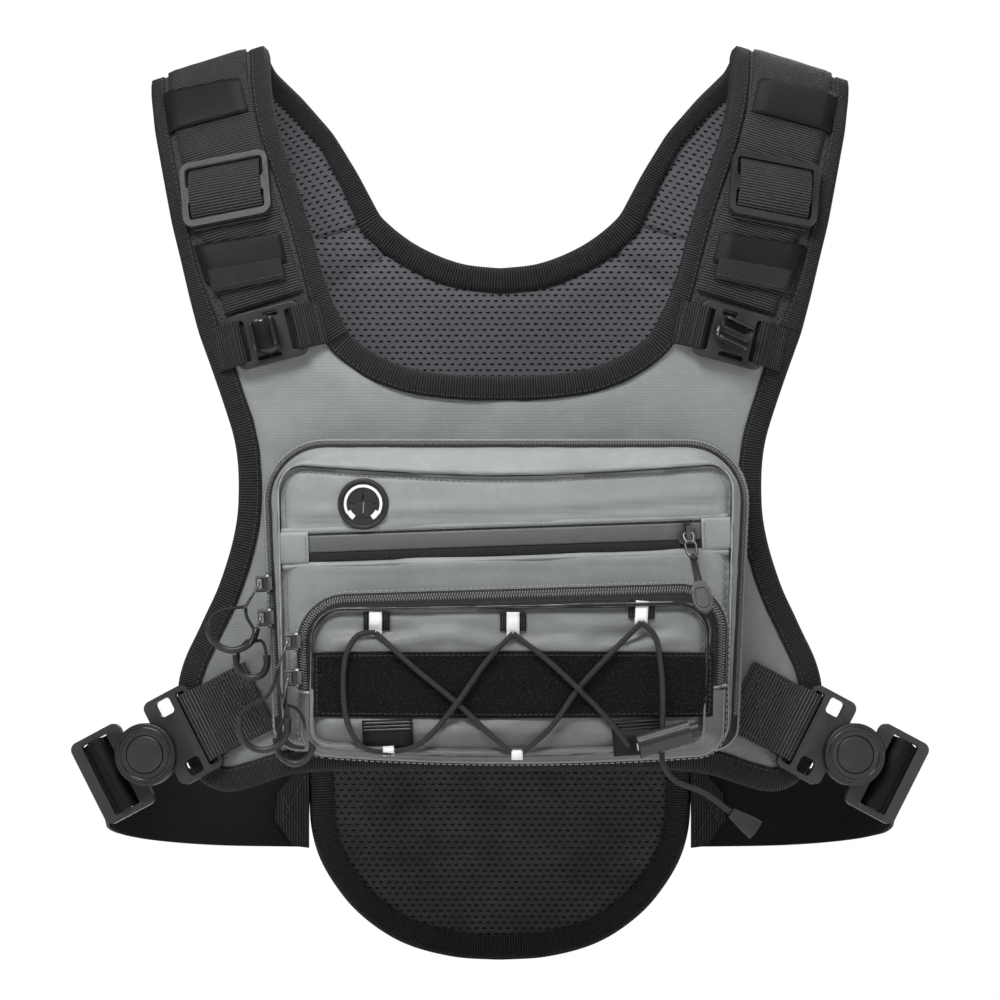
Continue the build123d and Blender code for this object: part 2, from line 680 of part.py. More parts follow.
# ---- welt zip across the main pocket, rising slightly to the right -------------
WELT_LEFT, WELT_RIGHT = (-96.0, 34.2), (101.0, 41.0)
WELT_TAPE_R = MAIN_R + 1.7
GARAGE_OUT, GARAGE_SHIFT = 7.5, 0.3   # end patches: centres beyond the zip's ends
welt_run = WELT_RIGHT[0] - WELT_LEFT[0]
welt_rise = WELT_RIGHT[1] - WELT_LEFT[1]
welt_tilt = degrees(atan2(welt_rise, welt_run))
welt_mid = ((WELT_LEFT[0] + WELT_RIGHT[0]) / 2, (WELT_LEFT[1] + WELT_RIGHT[1]) / 2)
garage_centres = [(WELT_LEFT[0] - GARAGE_OUT, WELT_LEFT[1] - GARAGE_SHIFT),
                  (WELT_RIGHT[0] + GARAGE_OUT, WELT_RIGHT[1] + GARAGE_SHIFT)]

save("welt_zip_tape", patch_layer(
    MAIN_R + FACE_GAP, WELT_TAPE_R, bottom=20, height=40, cut_from=100, cut_depth=90,
    patches=[(Location(welt_mid, welt_tilt), 197, 14)]))
save("welt_garages", patch_layer(
    MAIN_R + FACE_GAP, MAIN_R + 2.6, bottom=10, height=60, cut_from=100, cut_depth=90,
    patches=[(Location(centre, welt_tilt), 13.5, 16) for centre in garage_centres]))

# ---- headphone port: a disc with a rounded rim and a crossed slit --------------
port_plane = front_plane(-68, 55.5, MAIN_R)
with BuildPart() as headphone_port:
    with BuildSketch(port_plane.offset(0.5)):
        Circle(12.5)
    extrude(amount=2.0)
    fillet(headphone_port.edges().filter_by(GeomType.CIRCLE).sort_by(Axis.Y)[0], 0.9)
    with BuildSketch(port_plane.offset(1.3)):
        Rectangle(9, 0.8)
        Rectangle(0.8, 9)
    extrude(amount=2, mode=Mode.SUBTRACT)
save("headphone_port", headphone_port.part)

# ---- loop field and cord tabs on the front pocket's face -----------------------
LOOP_LOW, LOOP_HIGH = -50.5, -18.5
LOWER_TAB_T = 1.5         # outer face of the two wide tabs, over the pocket's face
save("loop_field", patch_layer(
    FRONT_FACE_R + FACE_GAP, FRONT_FACE_R + 1.3, bottom=LOOP_LOW, height=LOOP_HIGH - LOOP_LOW,
    cut_from=FRONT.cut_from, cut_depth=POCKET_CUT,
    patches=[((FRONT.mid_x + 1, -35), 200, 60)]))

# three narrow tabs above the loop field and one below it: centre, width, height
save("cord_tabs", patch_layer(
    FRONT_FACE_R + FACE_GAP, FRONT_FACE_R + 1.1, bottom=POCKET_LOW, height=110,
    cut_from=FRONT.cut_from, cut_depth=POCKET_CUT,
    patches=[((-62.0, -4.0), 6.5, 15), ((6.5, -4.5), 6.5, 15), ((70.5, 1.0), 6.5, 15),
             ((8.5, -68.0), 6.5, 8)]))

# two wide tabs below the loop field
save("lower_tabs", patch_layer(
    FRONT_FACE_R + FACE_GAP, FRONT_FACE_R + LOWER_TAB_T, bottom=POCKET_LOW, height=110,
    cut_from=FRONT.cut_from, cut_depth=POCKET_CUT,
    patches=[((-56.0, -63.5), 30, 23), ((68.0, -62.5), 24, 22)]))

# =============================================================================
# ELASTIC CORD laced between the tabs
# =============================================================================
CORD_R = 1.4
CORD_LIFT = FRONT_FACE_R + LOWER_TAB_T + CORD_R + 0.9   # radius the cord lies on
LOCK_R = FRONT_FACE_R + 8.9                             # radius it has in its lock
LOCK_CORD_X = 81

# points of the cord: X, Z and, where it leaves the pocket's face, its own radius
cross_left, cross_right = (-21.0, -44.0), (39.0, -36.5)
top_left, top_mid, top_right = (-62.0, -8.5), (6.5, -9.0), (70.5, -3.5)
low_left, low_mid, low_right = (-55.5, -68.5), (8.5, -70.5), (64.5, -65.5)
lock_exit = (LOCK_CORD_X, -74, LOCK_R)
cord_runs = [
    [top_left, (-70, -9), (-76, -18), (-78, -37), (-75, -57), (-67.5, -66.5), low_left],
    [low_left, (-40, -65), (-22.5, -45), top_mid],
    [top_left, (-42, -26), cross_left, (-6, -58), low_mid],
    [low_mid, (25, -55), cross_right, (55, -20), top_right],
    [top_mid, (22, -22), cross_right, (54, -51), low_right],
    [top_right, (77, -10), (80, -24, CORD_LIFT + 1.5), (LOCK_CORD_X, -36, LOCK_R), lock_exit],
]
cord_tail = [lock_exit, (87, -82, LOCK_R), (101, -88, LOCK_R), (115, -98, LOCK_R)]


def cord_point(entry):
    """The point in space of an entry in the cord's tables."""
    radius = entry[2] if len(entry) == 3 else CORD_LIFT
    return Vector(entry[0], front_y(entry[0], radius), entry[1])


with BuildPart() as shock_cord:
    for run in cord_runs + [cord_tail]:
        for entry, next_entry in zip(run, run[1:]):
            start, finish = cord_point(entry), cord_point(next_entry)
            with BuildSketch(Plane(origin=start, z_dir=finish - start)):
                Circle(CORD_R)
            extrude(amount=(finish - start).length)
            with Locations(start):
                Sphere(CORD_R)
        # the tail ends flat, against the cord end
        if run is not cord_tail:
            with Locations(cord_point(run[-1])):
                Sphere(CORD_R)
save("shock_cord", shock_cord.part)

# flared, hollow end piece: (distance along, radius)
END_STATIONS = ((0, 2.6), (4, 3.4), (10, 4.6), (15, 5.2))
END_LEN = END_STATIONS[-1][0]
end_axis = (cord_point(cord_tail[-1]) - cord_point(cord_tail[-2])).normalized()
end_plane = Plane(origin=cord_point(cord_tail[-1]) + end_axis * 0.3, z_dir=end_axis)
with BuildPart() as cord_end:
    for step, radius in END_STATIONS:
        with BuildSketch(end_plane.offset(step)):
            Circle(radius)
    loft()
    with BuildSketch(end_plane.offset(END_LEN)):
        Circle(3.0)
    extrude(amount=-7, mode=Mode.SUBTRACT)
save("cord_end", cord_end.part)

# ---- cord lock: barrel, plunger and a plain ring for the spring ----------------
LOCK_X, LOCK_Z, LOCK_TURN = 85.5, -62.5, 16.0
BARREL_R, PLUNGER_R = 6.2, 4.0
CORD_BORE_R = CORD_R + 0.9
CORD_BORE_LEN = 28
lock_mid = front_plane(LOCK_X, LOCK_Z, LOCK_R, LOCK_TURN)
lock_axis = lock_mid.x_dir
cord_mid = cord_point((LOCK_CORD_X, -62, LOCK_R))
# the lock is centred where the cord passes, shifted along its axis to stay at LOCK_X
lock_centre = cord_mid - lock_axis * (cord_mid - lock_mid.origin).dot(lock_axis)
lock_plane = Plane(origin=lock_centre, x_dir=(0, 0, 1), z_dir=lock_axis)
bore_plane = Plane(origin=cord_mid - Vector(0, 0, CORD_BORE_LEN / 2),
                   x_dir=(1, 0, 0), z_dir=(0, 0, 1))

with BuildPart() as cord_lock_barrel:
    with BuildSketch(lock_plane.offset(-17)):
        Circle(BARREL_R)
    extrude(amount=27)
    # plunger bore, closed at the left end
    with BuildSketch(lock_plane.offset(-16)):
        Circle(PLUNGER_R + 0.4)
    extrude(amount=30, mode=Mode.SUBTRACT)
    with BuildSketch(bore_plane):
        Circle(CORD_BORE_R)
    extrude(amount=CORD_BORE_LEN, mode=Mode.SUBTRACT)
save("cord_lock_barrel", cord_lock_barrel.part)

with BuildPart() as cord_lock_plunger:
    with BuildSketch(lock_plane.offset(-8.8)):
        Circle(PLUNGER_R)
    extrude(amount=24.3)
    fillet(cord_lock_plunger.edges().filter_by(GeomType.CIRCLE).sort_by(Axis.X)[-1], 1.2)
    with BuildSketch(bore_plane):
        SlotCenterToCenter(4.2, 2 * CORD_BORE_R)
    extrude(amount=CORD_BORE_LEN, mode=Mode.SUBTRACT)
save("cord_lock_plunger", cord_lock_plunger.part)

with BuildPart() as cord_lock_spring:
    with BuildSketch(lock_plane.offset(-15.8)):
        Circle(3.2)
        Circle(2.4, mode=Mode.SUBTRACT)
    extrude(amount=2.6)
save("cord_lock_spring", cord_lock_spring.part)

# =============================================================================
# ZIP SLIDERS AND PULLS
# =============================================================================
PIN_LIFT = 5.6            # height of the pull's pin above the slider's base plane
PIN_R, PIN_LEN = 0.55, 5.4
BRIDGE_LOW = 1.8          # foot and top of the bridge that holds the pin
BRIDGE_TOP = PIN_LIFT + 1.6
WIRE_T = 1.4              # thickness of the pull's fork and tab
PULL_CORD_R, GRIP_R = 1.3, 2.25
KNOT_AT = 12.5            # where the pull's cord leaves the tab


def wall_plane(pocket, radius, z, proud):
    """A plane on the left side wall of a pocket: X along the zip (up), Z outward."""
    flare = pocket.half_top - pocket.half_bottom
    height = pocket.top - pocket.bottom
    run = Vector(-flare, 0, height).normalized()
    out = Vector(-run.Z, 0, run.X)
    x = pocket.mid_x - pocket.half_bottom - flare * (z - pocket.bottom) / height
    return Plane(origin=Vector(x, front_y(x, radius), z) + out * proud, x_dir=run, z_dir=out)


def pin_of(base):
    """Centre of the pin over a slider's base plane."""
    return base.origin + base.z_dir * PIN_LIFT


def make_slider(base, flanges):
    """Slider body over the coil, with the bridge that holds the pull's pin."""
    with BuildPart() as slider:
        with BuildSketch(base.offset(0.35)):
            RectangleRounded(10.5, 8.8, 2.6)
        extrude(amount=1.5)
        if flanges:
            with BuildSketch(base.offset(-0.9)):
                with Locations((0, 4.0), (0, -4.0)):
                    Rectangle(6.5, 0.8)
            extrude(amount=1.5)
        with BuildSketch(base.offset(BRIDGE_LOW)):
            RectangleRounded(8.2, 2.2, 1.0)
        extrude(amount=BRIDGE_TOP - BRIDGE_LOW)
        # window for the pin
        with BuildSketch(Plane(origin=base.origin + base.y_dir * -2,
                               x_dir=base.x_dir, z_dir=base.y_dir)):
            with Locations((0, -(PIN_LIFT - 0.2))):
                Rectangle(5.0, 2.4)
        extrude(amount=4, mode=Mode.SUBTRACT)
    return slider.part


def make_pull(pin, along, across, reach, ring_r, shift, ring_flat):
    """Wire fork on its pin, a short tab, a cord and a ring-shaped grip.

    The ring's centre lies reach along the pull and shift to its side. The ring
    lies flat with the tab, or stands edgewise to it.
    """
    up = along.cross(across).normalized()
    flat = Plane(origin=pin, x_dir=along, z_dir=up)
    ring_axis = up if ring_flat else flat.y_dir
    knot = pin + along * KNOT_AT
    ring_centre = pin + along * reach + flat.y_dir * shift
    ring_start = ring_centre - along * ring_r
    with BuildPart() as pull:
        with BuildSketch(Plane(origin=pin - flat.y_dir * (PIN_LEN / 2),
                               x_dir=along, z_dir=flat.y_dir)):
            Circle(PIN_R)
        extrude(amount=PIN_LEN)
        # fork arms and tab
        with BuildSketch(flat.offset(-WIRE_T / 2)):
            with Locations((2.6, 2.15), (2.6, -2.15)):
                Rectangle(6.6, 1.1)
            with Locations((9.4, 0)):
                RectangleRounded(7.2, 5.4, 1.2)
        extrude(amount=WIRE_T)
        with BuildSketch(Plane(origin=knot, z_dir=ring_start - knot)):
            Circle(PULL_CORD_R)
        extrude(amount=(ring_start - knot).length)
        with Locations(Location(Plane(origin=ring_centre, x_dir=along, z_dir=ring_axis))):
            Torus(ring_r, GRIP_R)
    return pull.part


# ---- two sliders on the left wall of each pocket -------------------------------
MAIN_ZIP_R, FRONT_ZIP_R = 621.0, 652.5
# pocket name, letter, pocket, zip radius, slider Z, pull's angle from the wall,
# reach, ring radius, sideways shift
side_sliders = [
    ("main", "a", MAIN, MAIN_ZIP_R, 16.0, 34.0, 30.0, 9.0, -6.2),
    ("main", "b", MAIN, MAIN_ZIP_R, -1.0, 26.0, 28.0, 8.0, 4.2),
    ("front", "a", FRONT, FRONT_ZIP_R, -13.0, 22.0, 47.0, 9.0, -6.2),
    ("front", "b", FRONT, FRONT_ZIP_R, -31.0, 14.0, 37.0, 8.0, 4.2),
]
for name, letter, pocket, zip_radius, z, angle, reach, ring_r, shift in side_sliders:
    base = wall_plane(pocket, zip_radius, z, COIL_OUT)
    hang = (base.x_dir * -cos(radians(angle)) + base.z_dir * sin(radians(angle))).normalized()
    save(f"{name}_slider_{letter}", make_slider(base, flanges=True))
    save(f"{name}_pull_{letter}", make_pull(
        pin_of(base), hang, Vector(0, 1, 0), reach, ring_r, shift, ring_flat=False))

# ---- one slider near the right end of the welt zip -----------------------------
WELT_SLIDER_X = 93.0
WELT_LEAN = 38.0          # angle of the hanging pull from the face
welt_slider_z = WELT_LEFT[1] + (WELT_SLIDER_X - WELT_LEFT[0]) * welt_rise / welt_run
welt_plane = front_plane(WELT_SLIDER_X, welt_slider_z, WELT_TAPE_R, welt_tilt)
welt_along = (Vector(0.10, 0, -1) * cos(radians(WELT_LEAN))
              + welt_plane.z_dir * sin(radians(WELT_LEAN))).normalized()
welt_base = Plane(origin=welt_plane.origin, x_dir=welt_plane.y_dir, z_dir=welt_plane.z_dir)
save("welt_slider", make_slider(welt_base, flanges=False))
save("welt_pull", make_pull(pin_of(welt_plane), welt_along, welt_plane.x_dir,
                            reach=43.0, ring_r=5.2, shift=0.0, ring_flat=True))
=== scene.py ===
# A padded harness vest: a curved front panel with two stacked zip pockets, a flat back panel,
# two shoulder straps and two elastic side belts with buckles.
# Lengths are millimetres until build() scales them to metres. +Z is up, the front faces -Y
# and the pieces named "left" (side -1) lie at -X. The front panel and both pockets are wrapped
# round one upright axis at x = 0, y = AXIS_Y, so a layer's depth is given as a radius.
import bpy
import bmesh
import math
import numpy as np
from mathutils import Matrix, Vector, noise
from mathutils.geometry import delaunay_2d_cdt


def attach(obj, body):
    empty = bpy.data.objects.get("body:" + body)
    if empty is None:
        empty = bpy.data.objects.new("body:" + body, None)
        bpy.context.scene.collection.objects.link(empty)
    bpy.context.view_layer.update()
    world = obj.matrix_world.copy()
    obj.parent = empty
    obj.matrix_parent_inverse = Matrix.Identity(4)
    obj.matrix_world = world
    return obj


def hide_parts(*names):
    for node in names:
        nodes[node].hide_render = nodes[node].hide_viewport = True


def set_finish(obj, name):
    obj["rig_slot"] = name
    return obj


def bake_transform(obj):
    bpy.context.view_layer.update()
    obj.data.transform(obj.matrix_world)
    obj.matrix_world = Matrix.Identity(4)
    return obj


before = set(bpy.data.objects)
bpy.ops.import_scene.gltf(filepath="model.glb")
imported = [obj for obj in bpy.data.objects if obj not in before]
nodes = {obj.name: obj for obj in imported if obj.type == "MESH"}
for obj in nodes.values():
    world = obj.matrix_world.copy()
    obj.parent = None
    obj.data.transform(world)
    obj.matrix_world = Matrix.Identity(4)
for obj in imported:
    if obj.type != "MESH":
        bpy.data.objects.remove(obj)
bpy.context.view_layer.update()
MM = 0.001
SIDES = ((-1, "left"), (1, "right"))
MIRROR = (-1, 1)             # flips the x of (x, z) points

# =============================================================================
# dimensions shared with the frame
# =============================================================================
AXIS_Y = 475.0               # the front's axis
PANEL_R = 600.0              # radius of the front panel's outer face
MAIN_R = 640.0               # radius of the main pocket's face
FRONT_R = 665.0              # radius of the front pocket's face
LOOP_R = 666.3               # radius of the loop field on the front pocket
STRAP_X = 120.7              # x at which the shoulder profile is measured
SLOPE, SWEEP = 0.31, 0.19    # fall and rearward lean of the strap per mm outward

# (x, z) outlines, right half or right side
NECK_HALF = [(0, 118.5), (25, 119.5), (45, 122.5), (60, 128.2), (69, 133.8), (76.5, 140)]
SKIRT_HALF = [
    (150.3, 140), (142.2, 117.5), (136.3, 100), (133, 89), (131, 76), (130.6, 62),
    (131.3, 49), (134, 35), (137.9, 22), (142, 10.8), (146.5, 1.5), (152.3, -11),
    (156.8, -20), (160.6, -32), (161.5, -44), (160.5, -60), (156, -75), (148, -84.5),
    (137, -88), (122, -84.5), (105, -79), (80, -77), (40, -77), (0, -77)]
STRAP_INNER = [
    (60, 128.2), (69, 133.8), (76.5, 140), (79.5, 145), (86.5, 160), (91.2, 174), (95.3, 190),
    (100.9, 209), (106.5, 225), (111.8, 241), (115.5, 256), (117.3, 270), (118, 292)]
STRAP_OUTER = [
    (133, 89), (136.3, 100), (142.2, 117.5), (150.3, 140), (155.3, 158.6), (160.3, 179.7),
    (164.6, 197), (169, 220), (173.5, 244), (175.5, 262), (176, 292)]
YOKE_INNER = [(61, 200), (72, 221), (85, 242.5), (101, 261), (114, 274), (118, 282), (118.5, 292)]
YOKE_OUTER = [
    (115, 30), (127, 80), (142, 122), (156, 162), (164.5, 200), (169, 220),
    (173.5, 244), (175.5, 262), (176, 292)]
BACK_NECK_HALF = [(0, 173.5), (20, 176), (40, 184), (52, 192), (61, 200)]
BACK_SIDE_HALF = [
    (164.5, 200), (156, 162), (142, 122), (127, 80), (115, 30), (105, -20), (98, -60),
    (95.5, -88), (94.5, -107), (90.5, -122), (83, -135.5), (71, -150), (50, -164.5),
    (24, -172), (0, -173.7)]
WEB_MID = [(118, 158), (124, 176), (131, 200), (137.5, 224), (143, 246), (146, 262), (147, 276)]
# (y, z) side view of the strap over the shoulder, up the front and down the back
FRONT_PROFILE = [
    (-113.5, 110), (-112.6, 128), (-111.8, 142), (-108.5, 165), (-99.5, 205),
    (-84, 243), (-66, 270), (-45, 284.8)]
BACK_PROFILE = [(-25, 280), (-9, 262), (-1.6, 235), (-0.3, 205), (-0.3, 160)]


# =============================================================================
# curves and numbers
# =============================================================================
def unit(v):
    v = np.asarray(v, float)
    return v / np.maximum(np.linalg.norm(v, axis=-1, keepdims=True), 1e-9)


def smooth01(x):
    x = np.clip(x, 0, 1)
    return x * x * (3 - 2 * x)


def ripple(x, z, scale, seed=0.0, octaves=3):
    """Smooth noise in about -1..1 at a plane point."""
    return noise.fractal(Vector((x / scale, z / scale, seed)), 0.9, 2.0, octaves)


def looped(path, closed):
    return np.vstack([path, path[:1]]) if closed else path


def arclen(path, closed=False):
    steps = np.diff(looped(path, closed), axis=0)
    return np.concatenate([[0], np.cumsum(np.linalg.norm(steps, axis=1))])


def at_length(want, along, rows):
    """Rows interpolated at the wanted lengths."""
    return np.stack([np.interp(want, along, rows[:, k]) for k in range(rows.shape[1])], -1)


def resample(path, count, closed=False):
    path = np.asarray(path, float)
    along = arclen(path, closed)
    if closed:
        want = np.linspace(0, along[-1], count + 1)[:-1]
    else:
        want = np.linspace(0, along[-1], count)
    return at_length(want, along, looped(path, closed))


def mix_at(t, first, second, t_first, t_second):
    span = t_second - t_first
    return (t_second - t) / span * first + (t - t_first) / span * second


def catmull(points, count, closed=False):
    """Points evenly spaced along a smooth curve through the given points."""
    ctrl = np.array(points, float)
    if closed:
        ctrl = np.vstack([ctrl[-1], ctrl, ctrl[0], ctrl[1]])
    else:
        ctrl = np.vstack([2 * ctrl[0] - ctrl[1], ctrl, 2 * ctrl[-1] - ctrl[-2]])
    out = []
    for i in range(1, len(ctrl) - 2):
        quad = ctrl[i - 1:i + 3]
        gaps = [max(np.linalg.norm(quad[k + 1] - quad[k]), 1e-6) ** 0.5 for k in range(3)]
        knots = np.concatenate([[0], np.cumsum(gaps)])
        for t in np.linspace(knots[1], knots[2], 24, endpoint=False):
            low = [mix_at(t, quad[k], quad[k + 1], knots[k], knots[k + 1]) for k in range(3)]
            mid = [mix_at(t, low[k], low[k + 1], knots[k], knots[k + 2]) for k in range(2)]
            out.append(mix_at(t, mid[0], mid[1], knots[1], knots[2]))
    if not closed:
        out.append(ctrl[-2])
    return resample(np.array(out), count, closed)


def tangents(path, closed=False):
    if closed:
        return unit(np.roll(path, -1, 0) - np.roll(path, 1, 0))
    return unit(np.gradient(path, axis=0))


def frames(path, hint, closed=False):
    """Side and up along a path, with up as near the hint as it can be."""
    tangent = tangents(path, closed)
    side = unit(np.cross(tangent, np.broadcast_to(np.asarray(hint, float), path.shape)))
    return side, unit(np.cross(side, tangent))


def circle(radius, count=12, radius_y=None):
    a = np.linspace(0, 2 * math.pi, count, endpoint=False)
    return np.stack([np.cos(a) * radius, np.sin(a) * (radius_y or radius)], 1)


def rounded(width, height, radius, count=4):
    """Closed section of a rounded rectangle."""
    out = []
    half_w, half_h = width / 2 - radius, height / 2 - radius
    for x, y, start in ((half_w, half_h, 0), (-half_w, half_h, 90),
                        (-half_w, -half_h, 180), (half_w, -half_h, 270)):
        for a in np.linspace(start, start + 90, count):
            out.append((x + radius * math.cos(math.radians(a)),
                        y + radius * math.sin(math.radians(a))))
    return np.array(out)


def plane_normals(loop):
    """Unit normals of a closed plane loop, to the left of its run."""
    run = tangents(loop, True)
    return np.stack([-run[:, 1], run[:, 0]], 1)


def inside(poly, points):
    x, y = points[:, 0][:, None], points[:, 1][:, None]
    x0, y0 = poly[:, 0][None], poly[:, 1][None]
    x1, y1 = np.roll(poly[:, 0], -1)[None], np.roll(poly[:, 1], -1)[None]
    rise = np.where(y1 == y0, 1e-9, y1 - y0)
    hit = ((y0 > y) != (y1 > y)) & (x < (x1 - x0) * (y - y0) / rise + x0)
    return (hit.sum(1) % 2) == 1


def edge_dist(poly, points):
    start = poly[None]
    edge = np.roll(poly, -1, 0)[None] - start
    p = points[:, None]
    t = np.clip(((p - start) * edge).sum(2) / np.maximum((edge * edge).sum(2), 1e-9), 0, 1)
    return np.linalg.norm(p - (start + edge * t[..., None]), axis=2).min(1)


def front_y(x, radius):
    return AXIS_Y - np.sqrt(radius * radius - x * x)


def front_surf(radius):
    """Maps x, z and a height to the curved front."""
    def place(x, z, h):
        return (x, front_y(x, radius + h), z)
    return place


def wrap(points, radius):
    """(x, z) points laid on the curved front."""
    p = np.asarray(points, float)
    return np.stack([p[:, 0], front_y(p[:, 0], radius), p[:, 1]], 1)


def on_front(points, radius, lift=0.0):
    """Points on the curved front, with the outward normals."""
    q = wrap(points, radius + lift)
    return q, unit(np.stack([q[:, 0], q[:, 1] - AXIS_Y, np.zeros(len(q))], 1))


# =============================================================================
# meshes
# =============================================================================
def build(name, verts, faces, uv, mats, face_mats=None):
    """Smooth-shaded object; mats is one key of MATS or a list of them."""
    me = bpy.data.meshes.new(name)
    me.from_pydata((np.asarray(verts, float) * MM).tolist(), [],
                   [tuple(int(i) for i in f) for f in faces])
    if uv is not None:
        layer = me.uv_layers.new(name="UVMap")
        idx = np.zeros(len(me.loops), np.int32)
        me.loops.foreach_get("vertex_index", idx)
        layer.data.foreach_set("uv", np.asarray(uv, np.float32)[idx].ravel())
    for key in (mats if isinstance(mats, list) else [mats]):
        me.materials.append(MATS[key])
    if face_mats is not None:
        me.polygons.foreach_set("material_index", np.asarray(face_mats, np.int32))
    me.polygons.foreach_set("use_smooth", [True] * len(me.polygons))
    me.validate()
    me.update()
    piece = bpy.data.objects.new(name, me)
    bpy.context.scene.collection.objects.link(piece)
    bm = bmesh.new()
    bm.from_mesh(me)
    bmesh.ops.recalc_face_normals(bm, faces=bm.faces)
    bm.to_mesh(me)
    bm.free()
    return piece


def fit(piece, body, slot=None, replaces=()):
    """Tells the frame what a piece replaces, its finish and the body it moves with."""
    if replaces:
        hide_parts(*replaces)
    if slot:
        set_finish(piece, slot)
    if body == "bend":
        # over the shoulder the piece goes from the back body to the front one
        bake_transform(piece)
    else:
        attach(piece, body)


def quads(rows, around, base=0, wrap_rows=False, wrap_around=True):
    """Faces between successive rows of vertices."""
    faces = []
    for i in range(rows if wrap_rows else rows - 1):
        row, following = base + i * around, base + (i + 1) % rows * around
        for a in range(around if wrap_around else around - 1):
            b = (a + 1) % around
            faces.append((row + a, row + b, following + b, following + a))
    return faces


def capped(rows, around, base=0):
    last = base + (rows - 1) * around
    return quads(rows, around, base) + [tuple(base + a for a in range(around))[::-1],
                                        tuple(last + a for a in range(around))]


def layer_faces(across, rows):
    """Faces of a top and a bottom grid; the bottom's vertices follow the top's."""
    low = across * rows
    faces = []
    for j in range(rows - 1):
        for i in range(across - 1):
            p = j * across + i
            faces.append((p, p + 1, p + across + 1, p + across))
            faces.append((low + p, low + p + across, low + p + across + 1, low + p + 1))
    return faces


def sheet_faces(across, rows):
    """Both layers and the rim that joins them."""
    low = across * rows
    rim = list(range(across))
    rim += [j * across + across - 1 for j in range(1, rows)]
    rim += [(rows - 1) * across + i for i in range(across - 2, -1, -1)]
    rim += [j * across for j in range(rows - 2, 0, -1)]
    return layer_faces(across, rows) + [(a, b, low + b, low + a)
                                        for a, b in zip(rim, rim[1:] + rim[:1])]


def sweep(name, path, side, up, section, mat, closed=False):
    """Sweeps a closed section [(a, b)...] along a path: a along side, b along up."""
    side = np.broadcast_to(side, path.shape)
    section = np.asarray(section, float)
    rows, around = len(path), len(section)
    verts = (path[:, None] + side[:, None] * section[None, :, 0:1]
             + up[:, None] * section[None, :, 1:2]).reshape(-1, 3)
    uv = np.stack([np.repeat(arclen(path, closed)[:rows], around),
                   np.tile(arclen(section, True)[:around], rows)], 1)
    faces = quads(rows, around, wrap_rows=True) if closed else capped(rows, around)
    return build(name, verts, faces, uv, mat)


def rod(name, path, hint, section, mat, closed=False):
    side, up = frames(path, hint, closed)
    return sweep(name, path, side, up, section, mat, closed)


def tube(name, points, radius, mat, hint, seg=12):
    """Round tube along a smooth curve through the points."""
    points = np.asarray(points, float)
    count = max(8, int(arclen(points)[-1] / 1.2))
    return rod(name, catmull(points, count), hint, circle(radius, seg), mat)


def plate(name, outline, surf, thick, mats, step, height, pillow=(0.0, 6.0), under=0.3):
    """A closed sheet over an (x, z) outline, mapped by surf(x, z, h).

    height(x, z, edge distance) lifts it; pillow is the (drop, width) at its edge and
    under is the share of any dip that reaches the inner face."""
    low, high = outline.min(0), outline.max(0)
    grid = np.array([(x + (step * 0.5 if k % 2 else 0), z)
                     for k, z in enumerate(np.arange(low[1] + step * 0.5, high[1], step * 0.9))
                     for x in np.arange(low[0] + step * 0.5, high[0], step)])
    grid = grid[inside(outline, grid)]
    grid = grid[edge_dist(outline, grid) > step * 0.45]
    rim = len(outline)
    res = delaunay_2d_cdt([Vector(p) for p in np.vstack([outline, grid])],
                          [(i, (i + 1) % rim) for i in range(rim)], [], 1, 1e-5)
    flat = np.array([(v.x, v.y) for v in res[0]])
    tris = [tuple(f) for f in res[2]]
    made_from = {}
    for i, sources in enumerate(res[3]):
        for k in sources:
            made_from[k] = i
    loop = [made_from[i] for i in range(rim)]
    dist = edge_dist(outline, flat)
    drop, width = pillow
    lift = -drop * (1 - smooth01(dist / width))
    lift = lift + np.array([height(x, z, d) for (x, z), d in zip(flat, dist)])
    top = np.array([surf(x, z, h) for (x, z), h in zip(flat, lift)])
    bottom = np.array([surf(x, z, min(h, 0) * under - thick) for (x, z), h in zip(flat, lift)])
    n = len(flat)
    faces = tris + [tuple(n + i for i in reversed(t)) for t in tris]
    for a, b in zip(loop, loop[1:] + loop[:1]):
        faces.append((a, b, n + b, n + a))
    back_slot = 1 if len(mats) > 1 else 0
    face_mats = [0] * len(tris) + [back_slot] * len(tris) + [0] * rim
    return build(name, np.vstack([top, bottom]), faces, np.vstack([flat, flat]), mats, face_mats)


def stitch(name, path, normal, thread, pitch, length, radius, closed=False, body="front"):
    """A row of short raised stitches along a path."""
    path = np.asarray(path, float)
    along = arclen(path, closed)
    points = looped(path, closed)
    normals = looped(np.broadcast_to(np.asarray(normal, float), path.shape), closed)
    lift = 0.12
    section = ((-0.5, 0.35), (-0.32, 0.95), (0.0, 1.1), (0.32, 0.95), (0.5, 0.35))  # along, size
    verts, faces = [], []
    for k in range(int(along[-1] // pitch)):
        centre = (k + 0.5) * pitch
        start = at_length(centre - length / 2, along, points)
        end = at_length(centre + length / 2, along, points)
        up = unit(at_length(centre, along, normals))
        run = unit(end - start)
        side = np.cross(run, up)
        mid, span = (start + end) / 2 + up * lift, np.linalg.norm(end - start)
        faces += capped(len(section), 6, len(verts))
        for at, size in section:
            for i in range(6):
                a = 2 * math.pi * i / 6
                verts.append(mid + run * (at * span) + side * (math.cos(a) * radius * size)
                             + up * (math.sin(a) * radius * size * 0.8))
    piece = build(name, np.array(verts), faces, None, thread)
    fit(piece, body)


